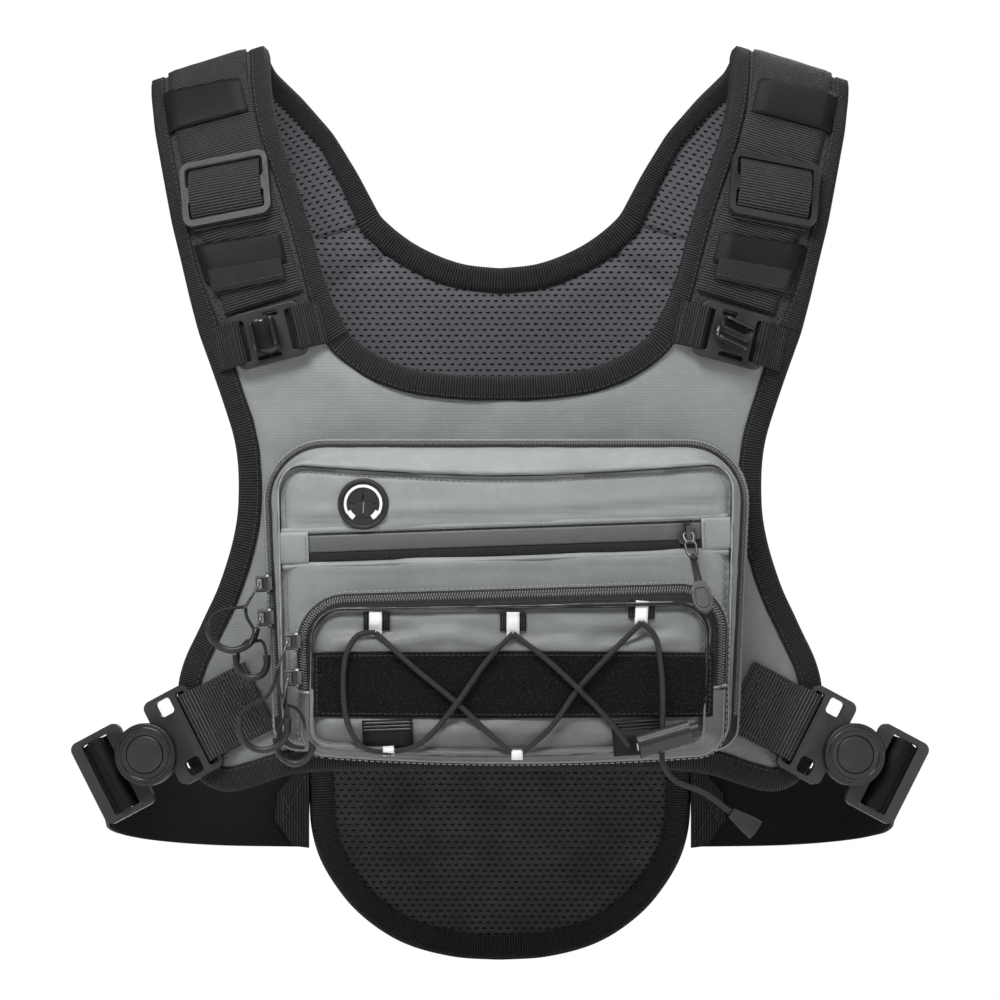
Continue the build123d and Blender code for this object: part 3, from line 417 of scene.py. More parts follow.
def coil(name, path, normal, width, radius, replaces):
    """Zip coil: two rows of slanted nylon loops along a path."""
    pitch = 1.3
    along = arclen(path)
    # share of the half width, height, size
    spots = ((0.0, -0.1, 0.28), (0.12, 0.45, 0.5), (0.55, 0.6, 0.5), (0.95, 0.38, 0.42),
             (1.05, -0.1, 0.25))
    verts, faces = [], []
    for k in range(int(along[-1] // pitch)):
        centre = (k + 0.5) * pitch
        start = at_length(centre, along, path)
        up = unit(at_length(centre, along, normal))
        run = unit(at_length(centre + 0.3, along, path) - start)
        side = unit(np.cross(run, up))
        for sign in (1, -1):
            faces += capped(len(spots), 5, len(verts))
            for out, height, size in spots:
                q = (start + run * (0.34 * sign) + side * (sign * out * width / 2)
                     + up * height + run * (out * 0.3))
                for i in range(5):
                    a = 2 * math.pi * i / 5
                    verts.append(q + run * (math.cos(a) * radius * size * 1.35)
                                 + up * (math.sin(a) * radius * size * 1.35))
    piece = build(name, np.array(verts), faces, None, "coil")
    fit(piece, "front", "zip_tape", [replaces])


def solidify(piece, thick):
    """Gives an open strip a real thickness."""
    md = piece.modifiers.new("thick", "SOLIDIFY")
    md.thickness = thick * MM
    md.offset = 0.0
    bpy.context.view_layer.objects.active = piece
    bpy.ops.object.modifier_apply(modifier="thick")


def join(name, pieces):
    for piece in bpy.context.selected_objects:
        piece.select_set(False)
    for piece in pieces:
        piece.select_set(True)
    bpy.context.view_layer.objects.active = pieces[0]
    bpy.ops.object.join()
    pieces[0].name = name
    pieces[0].data.name = name
    return pieces[0]


# =============================================================================
# materials
# =============================================================================
def shade(color, factor):
    return tuple(min(1, x * factor) for x in color)


class Mat:
    """Builds a node material round its Principled shader."""

    INPUTS = {"color": "Base Color", "rough": "Roughness", "metal": "Metallic",
              "normal": "Normal", "spec": "Specular IOR Level",
              "sheen": "Sheen Weight", "sheen_rough": "Sheen Roughness"}

    def __init__(self, name):
        self.material = bpy.data.materials.new(name)
        self.material.use_nodes = True
        self.tree = self.material.node_tree
        self.shader = self.tree.nodes["Principled BSDF"]
        self._uv = None
        self._obj = None

    def node(self, kind, **props):
        n = self.tree.nodes.new(kind)
        for k, v in props.items():
            setattr(n, k, v)
        return n

    def link(self, source, target):
        self.tree.links.new(source, target)

    def put(self, socket, value):
        """Links a socket, or sets a number or a colour."""
        if isinstance(value, bpy.types.NodeSocket):
            self.link(value, socket)
        elif isinstance(value, tuple) and len(value) == 3:
            socket.default_value = (*value, 1)
        else:
            socket.default_value = value

    def math(self, op, a, b=0.0, c=0.0, clamp=False):
        n = self.node("ShaderNodeMath", operation=op, use_clamp=clamp)
        for socket, value in zip(n.inputs, (a, b, c)):
            self.put(socket, value)
        return n.outputs[0]

    def times(self, value, gain, clamp=False):
        return self.math("MULTIPLY", value, gain, clamp=clamp)

    def affine(self, value, gain, offset, clamp=False):
        return self.math("MULTIPLY_ADD", value, gain, offset, clamp)

    def above(self, value, edge, gain, clamp=False):
        """Rises from zero where the value passes the edge."""
        return self.times(self.math("SUBTRACT", value, edge, clamp=True), gain, clamp)

    def sine(self, coord, period):
        return self.math("SINE", self.affine(coord, gain=2 * math.pi / period, offset=0.0))

    def uv(self):
        if self._uv is None:
            coords = self.node("ShaderNodeTexCoord")
            split = self.node("ShaderNodeSeparateXYZ")
            self.link(coords.outputs["UV"], split.inputs[0])
            self._uv = (split.outputs[0], split.outputs[1])
        return self._uv

    def obj(self):
        """Rest position in millimetres: object space, so it rides with a moving body."""
        if self._obj is None:
            coords = self.node("ShaderNodeTexCoord")
            scale = self.node("ShaderNodeVectorMath", operation="SCALE")
            self.link(coords.outputs["Object"], scale.inputs[0])
            scale.inputs[3].default_value = 1000.0
            self._obj = scale.outputs[0]
        return self._obj

    def height(self):
        split = self.node("ShaderNodeSeparateXYZ")
        self.link(self.obj(), split.inputs[0])
        return split.outputs[2]

    def noise(self, scale, detail=3, rough=0.5):
        n = self.node("ShaderNodeTexNoise")
        n.inputs["Scale"].default_value = scale
        n.inputs["Detail"].default_value = detail
        n.inputs["Roughness"].default_value = rough
        self.link(self.obj(), n.inputs["Vector"])
        return n.outputs[0]

    def cells(self, scale):
        n = self.node("ShaderNodeTexVoronoi", feature="F1")
        n.inputs["Scale"].default_value = scale
        self.link(self.obj(), n.inputs["Vector"])
        return n.outputs[0]

    def wear_and_highlight(self, edge, gain):
        """Mask of the convex edges: rubbed wear, and on the zip coil a painted highlight."""
        geo = self.node("ShaderNodeNewGeometry")
        return self.above(geo.outputs["Pointiness"], edge, gain, clamp=True)

    def ramp(self, value, stops):
        n = self.node("ShaderNodeValToRGB")
        self.put(n.inputs[0], value)
        elements = n.color_ramp.elements
        while len(elements) < len(stops):
            elements.new(0.5)
        for element, (position, color) in zip(elements, stops):
            element.position = position
            element.color = (*color, 1)
        return n.outputs[0]

    def mix(self, amount, first, second):
        n = self.node("ShaderNodeMix", data_type="RGBA")
        self.put(n.inputs[0], amount)
        self.put(n.inputs[6], first)
        self.put(n.inputs[7], second)
        return n.outputs[2]

    def bump(self, height, strength, dist, base=None):
        """Bump of a depth in millimetres, over the base bump."""
        n = self.node("ShaderNodeBump")
        n.inputs["Strength"].default_value = strength
        n.inputs["Distance"].default_value = dist * MM
        self.put(n.inputs["Height"], height)
        if base is not None:
            self.link(base, n.inputs["Normal"])
        return n.outputs[0]

    def set(self, **values):
        for k, value in values.items():
            self.put(self.shader.inputs[self.INPUTS[k]], value)
        return self.material


def mat_coated(name, color, rib, rib_amount, low_shade=None):
    """Coated polyester: fine cross ribs, faint mottling and rubbed high spots.

    The last argument is painted shade: (the height below which it starts, the depth it builds over,
    its strength)."""
    m = Mat(name)
    u, v = m.uv()
    warp = m.noise(scale=0.35, detail=2)
    cross_rib = m.sine(m.math("ADD", v, m.times(warp, gain=0.5)), period=rib)
    long_rib = m.sine(u, period=rib * 0.62)
    weave = m.math("ADD", m.times(cross_rib, gain=0.6 * rib_amount),
                   m.times(long_rib, gain=0.25 * rib_amount))
    fine = m.noise(scale=3.2, detail=4, rough=0.6)
    blot = m.noise(scale=0.045, detail=4, rough=0.55)
    streak = m.noise(scale=0.16, detail=3, rough=0.6)
    c = m.ramp(blot, [(0.3, shade(color, 0.90)), (0.55, color), (0.75, shade(color, 1.08))])
    c = m.mix(m.above(streak, edge=0.5, gain=0.9), c, shade(color, 1.45))
    c = m.mix(m.affine(weave, gain=0.10 * rib_amount, offset=0.10, clamp=True),
              c, shade(color, 0.55))
    if low_shade:
        # painted shade: darker towards the lower edge, unevenly, standing in for the lesser light
        # there
        start, depth, strength = low_shade
        low = m.math("DIVIDE", m.math("SUBTRACT", start, m.height()), depth, clamp=True)
        patches = m.affine(m.noise(scale=0.03, detail=3), gain=0.9, offset=0.45)
        low = m.times(low, patches, clamp=True)
        c = m.mix(m.times(low, gain=strength), c, shade(color, 0.28))
    c = m.mix(m.times(m.wear_and_highlight(edge=0.52, gain=5.0), gain=0.6), c, shade(color, 2.0))
    normal = m.bump(weave, strength=0.35, dist=0.12)
    normal = m.bump(fine, strength=0.25, dist=0.12, base=normal)
    normal = m.bump(m.noise(scale=0.09, detail=3), strength=0.35, dist=1.6, base=normal)
    rough = m.affine(m.noise(scale=0.12, detail=3), gain=0.25, offset=0.40)
    return m.set(color=c, rough=rough, normal=normal, spec=0.32, sheen=0.02)


def mat_rib(name, color, light, period, strength, rough, across=False):
    """Woven narrow fabric with ribs across its length: grosgrain binding and webbing."""
    m = Mat(name)
    u, v = m.uv()
    rib_axis, thread_axis = (v, u) if across else (u, v)
    wobble = m.times(m.noise(scale=0.9, detail=2), gain=0.5)
    rib = m.sine(m.math("ADD", rib_axis, wobble), period=period)
    thread = m.sine(thread_axis, period=0.62)
    height = m.math("ADD", m.times(rib, gain=0.75), m.times(thread, gain=0.25))
    c = m.ramp(m.affine(rib, gain=0.5, offset=0.5),
               [(0.22, shade(color, 0.18)), (0.62, color), (0.93, light)])
    c = m.mix(m.times(m.noise(scale=0.12, detail=4), gain=0.22), c, light)
    c = m.mix(m.above(m.noise(scale=2.6, detail=2), edge=0.58, gain=1.2), c, shade(light, 2.4))
    normal = m.bump(height, strength=strength, dist=0.28)
    normal = m.bump(m.noise(scale=4.0, detail=3), strength=0.25, dist=0.1, base=normal)
    rough_map = m.affine(m.noise(scale=0.5, detail=2), gain=0.2, offset=rough - 0.1)
    return m.set(color=c, rough=rough_map, normal=normal, sheen=0.0075, sheen_rough=0.4,
                 spec=0.11)


def mat_mesh(name, color, light, pitch_u=4.0, pitch_v=2.9, hole=0.9):
    """Spacer mesh: staggered drop-shaped holes in a knitted face."""
    m = Mat(name)
    u, v = m.uv()
    wobble = m.times(m.noise(scale=0.25, detail=2), gain=0.7)
    row_v = m.math("DIVIDE", m.math("ADD", v, wobble), pitch_v)
    row = m.math("ABSOLUTE", m.math("FLOOR", row_v))
    stagger = m.times(m.math("MODULO", row, 2.0), gain=0.5)
    row_u = m.math("ADD", m.math("DIVIDE", u, pitch_u), stagger)
    hole_u = m.math("SUBTRACT", m.math("FRACT", row_u), 0.5)
    hole_v = m.math("SUBTRACT", m.math("FRACT", row_v), 0.5)
    # drop shape: narrower towards one end
    width = m.affine(hole_u, gain=0.9, offset=1.0)
    long_part = m.math("POWER", m.times(hole_u, gain=2.3), 2.0)
    wide_part = m.math("POWER", m.math("DIVIDE", m.times(hole_v, gain=3.3), width), 2.0)
    dist = m.math("SQRT", m.math("ADD", long_part, wide_part))
    fade = m.math("DIVIDE", m.math("SUBTRACT", dist, 0.50 * hole), 0.28, clamp=True)
    mask = m.math("SUBTRACT", 1.0, fade, clamp=True)
    knit = m.math("ADD", m.times(m.sine(u, period=0.8), gain=0.5),
                  m.times(m.sine(m.math("ADD", v, u), period=1.05), gain=0.5))
    c = m.ramp(m.noise(scale=0.05, detail=4), [(0.3, color), (0.7, light)])
    # painted light: paler towards the shoulders, standing in for the light falling from above
    high = m.math("DIVIDE", m.math("ADD", m.height(), 20.0), 170.0, clamp=True)
    c = m.mix(m.times(high, gain=0.8), c, shade(light, 2.6))
    c = m.mix(m.affine(knit, gain=0.18, offset=0.2, clamp=True), c, shade(color, 0.5))
    off_rim = m.math("ABSOLUTE", m.math("SUBTRACT", mask, 0.5))
    rim = m.times(m.math("SUBTRACT", 1.0, off_rim, clamp=True), gain=0.25)
    c = m.mix(rim, c, shade(light, 1.9))
    c = m.mix(mask, c, (0.0016, 0.0016, 0.0018))
    normal = m.bump(m.math("SUBTRACT", 1.0, mask), strength=0.9, dist=0.7)
    normal = m.bump(knit, strength=0.4, dist=0.12, base=normal)
    return m.set(color=c, rough=0.72, normal=normal, sheen=0.02, sheen_rough=0.35, spec=0.12)


def mat_plastic(name, color, rough, grain, light=None):
    """Moulded plastic: fine spark texture, soft mottling, edges paler: rubbed wear, and on the zip
    coil a painted highlight.
    """
    m = Mat(name)
    wear_and_highlight = m.wear_and_highlight(edge=0.53, gain=6.0)
    c = m.ramp(m.noise(scale=0.08, detail=4), [(0.3, shade(color, 0.7)), (0.7, shade(color, 1.25))])
    c = m.mix(m.times(wear_and_highlight, gain=0.7), c, light or tuple(min(1, x * 3.0 + 0.01) for x in color))
    normal = m.bump(m.noise(scale=5.0, detail=4, rough=0.7), strength=grain, dist=0.12)
    normal = m.bump(m.noise(scale=0.25, detail=2), strength=0.12, dist=0.5, base=normal)
    rough_map = m.affine(m.noise(scale=0.6, detail=4), gain=0.22, offset=rough - 0.08)
    return m.set(color=c, rough=rough_map, normal=normal, spec=0.26)


def mat_metal(name, color, rough):
    m = Mat(name)
    c = m.mix(m.times(m.wear_and_highlight(edge=0.515, gain=8.0), gain=0.5), color, (0.30, 0.30, 0.31))
    normal = m.bump(m.noise(scale=1.5, detail=4, rough=0.7), strength=0.12, dist=0.15)
    rough_map = m.affine(m.noise(scale=0.8, detail=4), gain=0.25, offset=rough)
    return m.set(color=c, metal=0.9, rough=rough_map, normal=normal)


def mat_loop(name, color):
    """Loop field: tangled pile with tiny bright fibres."""
    m = Mat(name)
    cells = m.cells(scale=1.15)
    pile = m.noise(scale=1.8, detail=5, rough=0.75)
    height = m.math("ADD", m.times(pile, gain=1.0), m.times(cells, gain=0.35))
    c = m.ramp(pile, [(0.38, shade(color, 0.3)), (0.58, color), (0.74, shade(color, 5))])
    normal = m.bump(height, strength=1.0, dist=0.8)
    return m.set(color=c, rough=0.95, normal=normal, sheen=0.03, sheen_rough=0.6, spec=0.06)


def mat_cord(name, color, light):
    """Braided elastic cord: crossing helical strands."""
    m = Mat(name)
    u, v = m.uv()
    strands = [m.sine(m.math(op, u, m.times(v, gain=0.9)), period=1.0)
               for op in ("ADD", "SUBTRACT")]
    height = m.math("MAXIMUM", *strands)
    c = m.ramp(m.affine(height, gain=0.5, offset=0.5),
               [(0.1, shade(color, 0.35)), (0.7, color), (1.0, light)])
    normal = m.bump(height, strength=0.6, dist=0.25)
    return m.set(color=c, rough=0.5, normal=normal, sheen=0.01, spec=0.2)


def mat_thread(name, color):
    m = Mat(name)
    twist = m.noise(scale=3.0, detail=2)
    c = m.ramp(twist, [(0.3, shade(color, 0.65)), (0.7, color)])
    normal = m.bump(twist, strength=0.4, dist=0.1)
    return m.set(color=c, rough=0.6, normal=normal, sheen=0.03, spec=0.2)


def mat_tab(name):
    """Pale, faintly beaded tape."""
    m = Mat(name)
    beads = m.cells(scale=2.6)
    c = m.ramp(beads, [(0.1, (0.60, 0.61, 0.62)), (0.7, (0.42, 0.43, 0.44))])
    normal = m.bump(beads, strength=0.35, dist=0.12)
    return m.set(color=c, rough=0.35, normal=normal, spec=0.6, sheen=0.2)


GREY = (0.150, 0.160, 0.156)
MATS = {
    # the panel and pocket fabrics carry painted shade towards their lower edges
    "panel": mat_coated("panel_fabric", shade(GREY, 1.12), rib=1.5, rib_amount=1.25,
                        low_shade=(70.0, 150.0, 0.75)),
    "pocket": mat_coated("pocket_fabric", shade(GREY, 1.16), rib=0.8, rib_amount=0.55,
                         low_shade=(45.0, 110.0, 0.45)),
    "bind": mat_rib("binding_grosgrain", (0.0085, 0.0088, 0.0093), (0.027, 0.028, 0.030),
                    period=1.3, strength=0.9, rough=0.68),
    "web": mat_rib("webbing_black", (0.012, 0.0123, 0.0132), (0.045, 0.046, 0.049),
                   period=1.45, strength=1.0, rough=0.55),
    "webv": mat_rib("webbing_wing", (0.015, 0.0153, 0.016), (0.052, 0.053, 0.055),
                    period=1.6, strength=1.0, rough=0.6),
    "elastic": mat_rib("elastic_belt", (0.0022, 0.0022, 0.0025), (0.005, 0.005, 0.006),
                       period=0.9, strength=0.35, rough=0.6, across=True),
    "keeper": mat_rib("keeper_elastic", (0.0055, 0.0056, 0.006), (0.010, 0.010, 0.011),
                      period=0.8, strength=0.25, rough=0.45),
    "mesh": mat_mesh("spacer_mesh", (0.016, 0.0165, 0.0175), (0.038, 0.039, 0.042)),
    "strapmesh": mat_mesh("strap_face", (0.0085, 0.0087, 0.009), (0.014, 0.0142, 0.015),
                          pitch_u=3.2, pitch_v=2.4, hole=0.4),
    "plastic": mat_plastic("moulded_black", (0.009, 0.0092, 0.0097), rough=0.36, grain=0.22),
    "rubber": mat_plastic("grip_rubber", (0.013, 0.0132, 0.0137), rough=0.36, grain=0.12,
                          light=(0.05, 0.05, 0.05)),
    "metal": mat_metal("dark_metal", (0.028, 0.028, 0.031), rough=0.3),
    "steel": mat_metal("spring_wire", (0.4, 0.4, 0.42), rough=0.25),
    "tape": mat_rib("zip_tape", (0.012, 0.012, 0.013), (0.028, 0.028, 0.030),
                    period=0.7, strength=0.5, rough=0.7),
    # painted highlight: the black coil's convex loops are painted pale grey, as where the light
    # catches them
    "coil": mat_plastic("zip_coil", (0.026, 0.026, 0.027), rough=0.3, grain=0.05,
                        light=(0.30, 0.30, 0.30)),
    "welt": mat_coated("welt_film", (0.062, 0.0640, 0.0645), rib=0.9, rib_amount=0.8),
    "loop": mat_loop("loop_pile", (0.0048, 0.0048, 0.0052)),
    "cord": mat_cord("braided_cord", (0.0060, 0.0060, 0.0065), (0.028, 0.028, 0.029)),
    "tab": mat_tab("pale_tab"),
    "thread_light": mat_thread("thread_light", (0.30, 0.315, 0.31)),
    "thread_dark": mat_thread("thread_dark", (0.035, 0.035, 0.037)),
    "thread_grey": mat_thread("thread_grey", (0.16, 0.17, 0.165)),
    "webf": mat_rib("webbing_flat", (0.0085, 0.0088, 0.0095), (0.028, 0.029, 0.031),
                    period=1.35, strength=0.9, rough=0.55),
    "plastic2": mat_plastic("moulded_grey", (0.015, 0.0153, 0.016), rough=0.42, grain=0.25),
    "gloss": mat_plastic("moulded_gloss", (0.010, 0.0102, 0.011), rough=0.2, grain=0.05),
    "rubber2": mat_plastic("soft_rubber", (0.012, 0.0122, 0.0125), rough=0.5, grain=0.12),
    "rubber3": mat_plastic("grip_moulded", (0.030, 0.0305, 0.032), rough=0.42, grain=0.15),
    "white_print": mat_plastic("white_print", (0.62, 0.63, 0.63), rough=0.45, grain=0.1,
                               light=(0.8, 0.8, 0.8)),
    "steel2": mat_metal("bright_wire", (0.13, 0.13, 0.135), rough=0.25),
    # painted shade: the front pocket gets a darker copy of the pocket fabric, darkened further
    # towards its lower edge
    "pocket_low": mat_coated("pocket_fabric_shaded", shade(GREY, 0.76), rib=0.8, rib_amount=0.55,
                             low_shade=(-38.0, 30.0, 0.70)),
    "thread_olive": mat_thread("thread_olive", (0.050, 0.050, 0.043)),
    "fibre": mat_thread("pile_fibre", (0.022, 0.022, 0.023)),
}

# =============================================================================
# the shoulder surface: t is the length along the side profile, from the front
# =============================================================================
profile = catmull(FRONT_PROFILE + BACK_PROFILE, 260)
apex = int(np.argmax(profile[:, 1]))
profile_len = arclen(profile)
SHOULDER_EDGES = {"in": (STRAP_INNER, YOKE_INNER, 118.0),
                  "out": (STRAP_OUTER, YOKE_OUTER, 165.0)}   # front, back, first guess of x


def first_at(run, z):
    """First coordinate of a run of points at height z."""
    rows = np.array(run, float)
    return float(np.interp(z, rows[:, 1], rows[:, 0]))


def profile_at(t):
    return at_length(t, profile_len, profile)


def shoulder_point(t, out, h=0.0):
    """Point at profile length t, distance out from STRAP_X and h above the surface."""
    y, z = profile_at(t)
    reach = 1.5
    tangent = unit(np.array([0.0, *(profile_at(t + reach) - profile_at(t - reach))]))
    lean = SWEEP * (1 - smooth01((y + 70) / 50.0))
    normal = unit(np.cross(unit(np.array([1.0, lean, -SLOPE])), tangent))
    steep_out = abs(normal[2]) < 0.3 and normal[1] * (1 if y > -30 else -1) > 0
    if not (normal[2] > 0 or steep_out):
        normal = -normal
    return np.array([STRAP_X + out, y + lean * out, z - SLOPE * out]) + normal * h, normal


def settle_x(t, x, rounds, x_at):
    """Solves for the x at which x_at(height) meets the sloped shoulder."""
    z0 = profile_at(t)[1]
    for _ in range(rounds):
        x = 0.5 * x + 0.5 * x_at(z0 - SLOPE * (x - STRAP_X))
    return x


def shoulder_x(t, which):
    """X of the inner or outer edge at profile length t."""
    strap, yoke, guess = SHOULDER_EDGES[which]
    back = smooth01((profile_at(t)[0] + 62) / 40.0)
    return settle_x(t, guess, 14,
                    lambda z: first_at(strap, z) * (1 - back) + first_at(yoke, z) * back)


def shoulder_grid(name, side, ts, span, across, top, bottom, mats, lift, edge=0.0):
    """A strip over the shoulder as one closed sheet; span(t) is its (inner x, outer x)."""
    verts, uv = [], []
    for t in ts:
        x_in, x_out = span(t)
        upper, lower = [], []
        for u in np.linspace(0, 1, across):
            x = x_in + (x_out - x_in) * u
            d = min(u, 1 - u) * (x_out - x_in)
            round_off = edge * 0.5 * (1 - smooth01(d / 7.0))
            upper.append((x, top - round_off + lift(t, x, d)))
            lower.append((x, bottom + round_off))
        for x, h in upper + lower[::-1]:
            p = shoulder_point(t, x - STRAP_X, h)[0]
            verts.append((p[0] * side, p[1], p[2]))
            uv.append((x, t))
    rows, around = len(ts), 2 * across
    faces = quads(rows, around)
    faces += [tuple(range(around)), tuple((rows - 1) * around + a for a in range(around))]
    lower_slot = 1 if len(mats) > 1 else 0
    face_mats = ([0] * across + [lower_slot] * across) * (rows - 1) + [0, 0]
    return build(name, verts, faces, uv, mats, face_mats)


def t_of(z, front=True):
    """Profile length at height z on the front or back half of the profile."""
    if front:
        return float(np.interp(z, profile[:apex + 1, 1], profile_len[:apex + 1]))
    return float(np.interp(-z, -profile[apex:, 1], profile_len[apex:]))


def t_at(x, z):
    return t_of(min(z + SLOPE * (abs(x) - STRAP_X), profile[apex, 1] - 0.3))


def on_strap(points, side, h):
    """Right-side (x, z) points on the front of the strap, with normals; side mirrors."""
    pairs = [shoulder_point(t_at(x, z), x - STRAP_X, h) for x, z in points]
    flip = (side, 1, 1)
    return np.array([p * flip for p, _ in pairs]), np.array([n * flip for _, n in pairs])


# =============================================================================
# padded panels
# =============================================================================
PANEL_INSET = 2.0            # the panels stop short of the binding's outer edge
T_END = float(profile_len[-1])
BACK_Y = -8.4                # outer face of the back panel

neck_half = catmull(NECK_HALF, 30)
skirt_half = catmull(SKIRT_HALF, 90)
neck_full = np.vstack([neck_half[::-1] * MIRROR, neck_half[1:]])
skirt_full = np.vstack([skirt_half, (skirt_half[::-1] * MIRROR)[1:]])
front_outline = np.vstack([resample(neck_full, 76), resample(skirt_full, 230)])


def inset_loop(loop, dist):
    x, z = loop[:, 0], loop[:, 1]
    area = 0.5 * np.sum(x * np.roll(z, -1) - np.roll(x, -1) * z)
    return loop + plane_normals(loop) * (dist if area > 0 else -dist)


def front_panel_height(x, z, d):
    """Soft waviness, pressed down beside the binding."""
    fold = 1.5 * ripple(x, z * 0.6, 60, 3.0, 2) + 0.6 * ripple(x * 0.5, z, 16, 7.0, 2)
    return fold * float(smooth01(d / 14)) - 0.9 * float(1 - smooth01((d - 7.5) / 7.0))


fit(plate("panel_front", inset_loop(front_outline, PANEL_INSET), front_surf(PANEL_R), 6.2,
          ["panel", "mesh"], step=4.2, height=front_panel_height),
    "front", "coated_grey", ["front_panel", "front_lining"])


# shoulders: woven face outside, mesh inside
def shoulder_span(t):
    inset = 2.6
    return shoulder_x(t, "in") + inset, shoulder_x(t, "out") - inset


for side, label in SIDES:
    def shoulder_lift(t, x, d):
        """Faint ripple, and extra padding towards the back end."""
        padding = smooth01((t - (T_END - 47)) / 10.0)
        return (0.35 * ripple(x, t, 24, 5.0 + side, 2)
                + 1.9 * float(padding) * (0.3 + 0.7 * float(smooth01((d - 4.5) / 5.0))))

    shoulder = shoulder_grid(f"{label}_shoulder", side,
                             np.linspace(t_of(129), t_of(180, False), 96), shoulder_span, 18,
                             0.0, -7.6, ["strapmesh", "mesh"], shoulder_lift, edge=2.2)
    fit(shoulder, "bend", "spacer_mesh", [f"{label}_strap", f"{label}_yoke"])

# back panel
back_neck = catmull(BACK_NECK_HALF, 40)
back_side = catmull(BACK_SIDE_HALF, 130)
back_outline = np.vstack([back_neck[::-1] * MIRROR, back_neck[1:], back_side,
                          (back_side[::-1] * MIRROR)[1:]])
SEAM_LEFT = np.array([(-52, 188), (-60, 180), (-78, 170), (-100, 158), (-128, 146)], float)
seam_path = {side: catmull(SEAM_LEFT * (-side, 1), 60) for side in (-1, 1)}


def back_height(x, z, d):
    """Padded, with a groove along each quilting seam and a pressed edge."""
    seam = min(np.linalg.norm(path - (x, z), axis=1).min() for path in seam_path.values())
    puff = 1.3 * smooth01(d / 22) - 2.6 * math.exp(-(seam / 2.2) ** 2)
    return float(puff + 0.8 * ripple(x, z, 38, 11.0, 2) * smooth01(d / 14)
                 - 1.0 * (1 - smooth01((d - 8) / 6)))


fit(plate("back_panel", inset_loop(back_outline, PANEL_INSET), lambda x, z, h: (x, BACK_Y - h, z),
          8.0, ["mesh", "pocket"], step=4.2, height=back_height, under=-0.35),
    "back", "spacer_mesh", ["back_shell", "back_foam", "back_mesh"])
for side, label in SIDES:
    seam_line = np.array([(x, BACK_Y - back_height(x, z, 20) - 0.1, z)
                          for x, z in seam_path[side] if abs(x) < 112])
    stitch(f"{label}_back_quilting", seam_line, (0, -1, 0), "thread_dark", 3.4, 2.4, 0.35,
           body="back")

# =============================================================================
# bindings round the neck opening and the outer edge
# =============================================================================
PANEL_BAND, YOKE_BAND = 11.5, 11.0     # widths on the panels and where the strap meets the back
# across (share of the width), across (mm), share of the thickness, lift, share around for UV
BINDING_SECTION = [
    (1.0, 0, 0, 0.465, 0), (0.72, 0, 0, 0.675, 0.28), (0.35, 0, 0, 0.696, 0.65),
    (0.1, 0, 0, 0.549, 0.9), (-0.02, -0.5, 0.3, 0, 1.02), (-0.03, -0.5, 0.5, 0, 1.1),
    (-0.02, -0.5, 0.7, 0, 1.18), (0.1, 0, 1, -0.3275, 1.3), (0.35, 0, 1, -0.485, 1.55),
    (0.72, 0, 1, -0.4625, 1.92), (1.0, 0, 1, -0.2375, 2.2)]


def t_edge(which, z, front=True):
    """Profile length at which the edge itself reaches height z."""
    strap, yoke, _ = SHOULDER_EDGES[which]
    return t_of(z + SLOPE * (first_at(strap if front else yoke, z) - STRAP_X), front)


def run_front(points):
    q, normals = on_front(points, PANEL_R)
    return q, normals, np.full(len(q), PANEL_BAND)


def run_back(points):
    q = np.stack([points[:, 0], np.full(len(points), -0.3), points[:, 1]], 1)
    return q, np.tile((0.0, 1.0, 0.0), (len(q), 1)), np.full(len(q), PANEL_BAND)


def run_strap(side, which, strap_band, rev=False):
    """Edge of the strap from the front panel to the back one."""
    pairs = [shoulder_point(t, shoulder_x(t, which) - STRAP_X)
             for t in np.linspace(t_edge(which, 141.5), t_edge(which, 201.5, False), 80)]
    q = np.array([p * (side, 1, 1) for p, _ in pairs])
    normals = np.array([n * (side, 1, 1) for _, n in pairs])
    widths = np.interp(np.linspace(0, 1, len(q)), [0, 0.12, 0.85, 1],
                       [PANEL_BAND, strap_band, strap_band, YOKE_BAND])
    return (q[::-1], normals[::-1], widths[::-1]) if rev else (q, normals, widths)


def edge_loop(parts, count):
    """Joins runs of (points, normals, widths) into one even closed loop."""
    points, normals, widths = (np.concatenate([part[k] for part in parts]) for k in range(3))
    along = arclen(points, True)
    rows = looped(np.hstack([points, normals, widths[:, None]]), True)
    loop = at_length(np.linspace(0, along[-1], count + 1)[:-1], along, rows)
    for _ in range(3):
        loop = (np.roll(loop, 1, 0) + 2 * loop + np.roll(loop, -1, 0)) / 4
    return loop[:, :3], unit(loop[:, 3:6]), loop[:, 6]


def thick_at(p):
    """Thickness of the padding under the binding."""
    strap = smooth01((p[1] + 100) / 40.0)
    back = smooth01((p[1] + 12) / 10.0)
    return 6.8 + 1.2 * float(strap) + 0.9 * float(back)


def binding(name, parts, count, fabric_dir, replaces=()):
    """Folded tape over an edge; fabric_dir(point) points roughly to the fabric."""
    points, normals, widths = edge_loop(parts, count)
    inward = unit(np.cross(tangents(points, True), normals))
    if sum(1.0 if np.dot(fabric_dir(q), i) > 0 else -1.0 for q, i in zip(points, inward)) < 0:
        inward = -inward
    along = arclen(points, True)
    verts, uv = [], []
    for i in range(count):
        thick = thick_at(points[i])
        width = widths[i] * (1 + 0.03 * ripple(along[i], 0, 15, 4.0, 2))
        for share, extra, depth, lift, around in BINDING_SECTION:
            verts.append(points[i] + inward[i] * (share * width + extra)
                         + normals[i] * (lift - thick * depth))
            uv.append((along[i], around * widths[i]))
    piece = build(name, verts, quads(count, len(BINDING_SECTION), wrap_rows=True), uv, "bind")
    fit(piece, "bend", "black_binding", replaces)
    return points + inward * (widths * 0.84)[:, None] + normals * 0.55, normals


def from_opening(q):
    return q - np.array([0.0, q[1], 205.0])


def to_middle(q):
    if q[2] > 150:
        return np.array([np.sign(q[0]) * 120.0, q[1], q[2] - 8.0]) - q
    return np.array([0.0, q[1], 20.0 if q[1] < -60 else -10.0]) - q


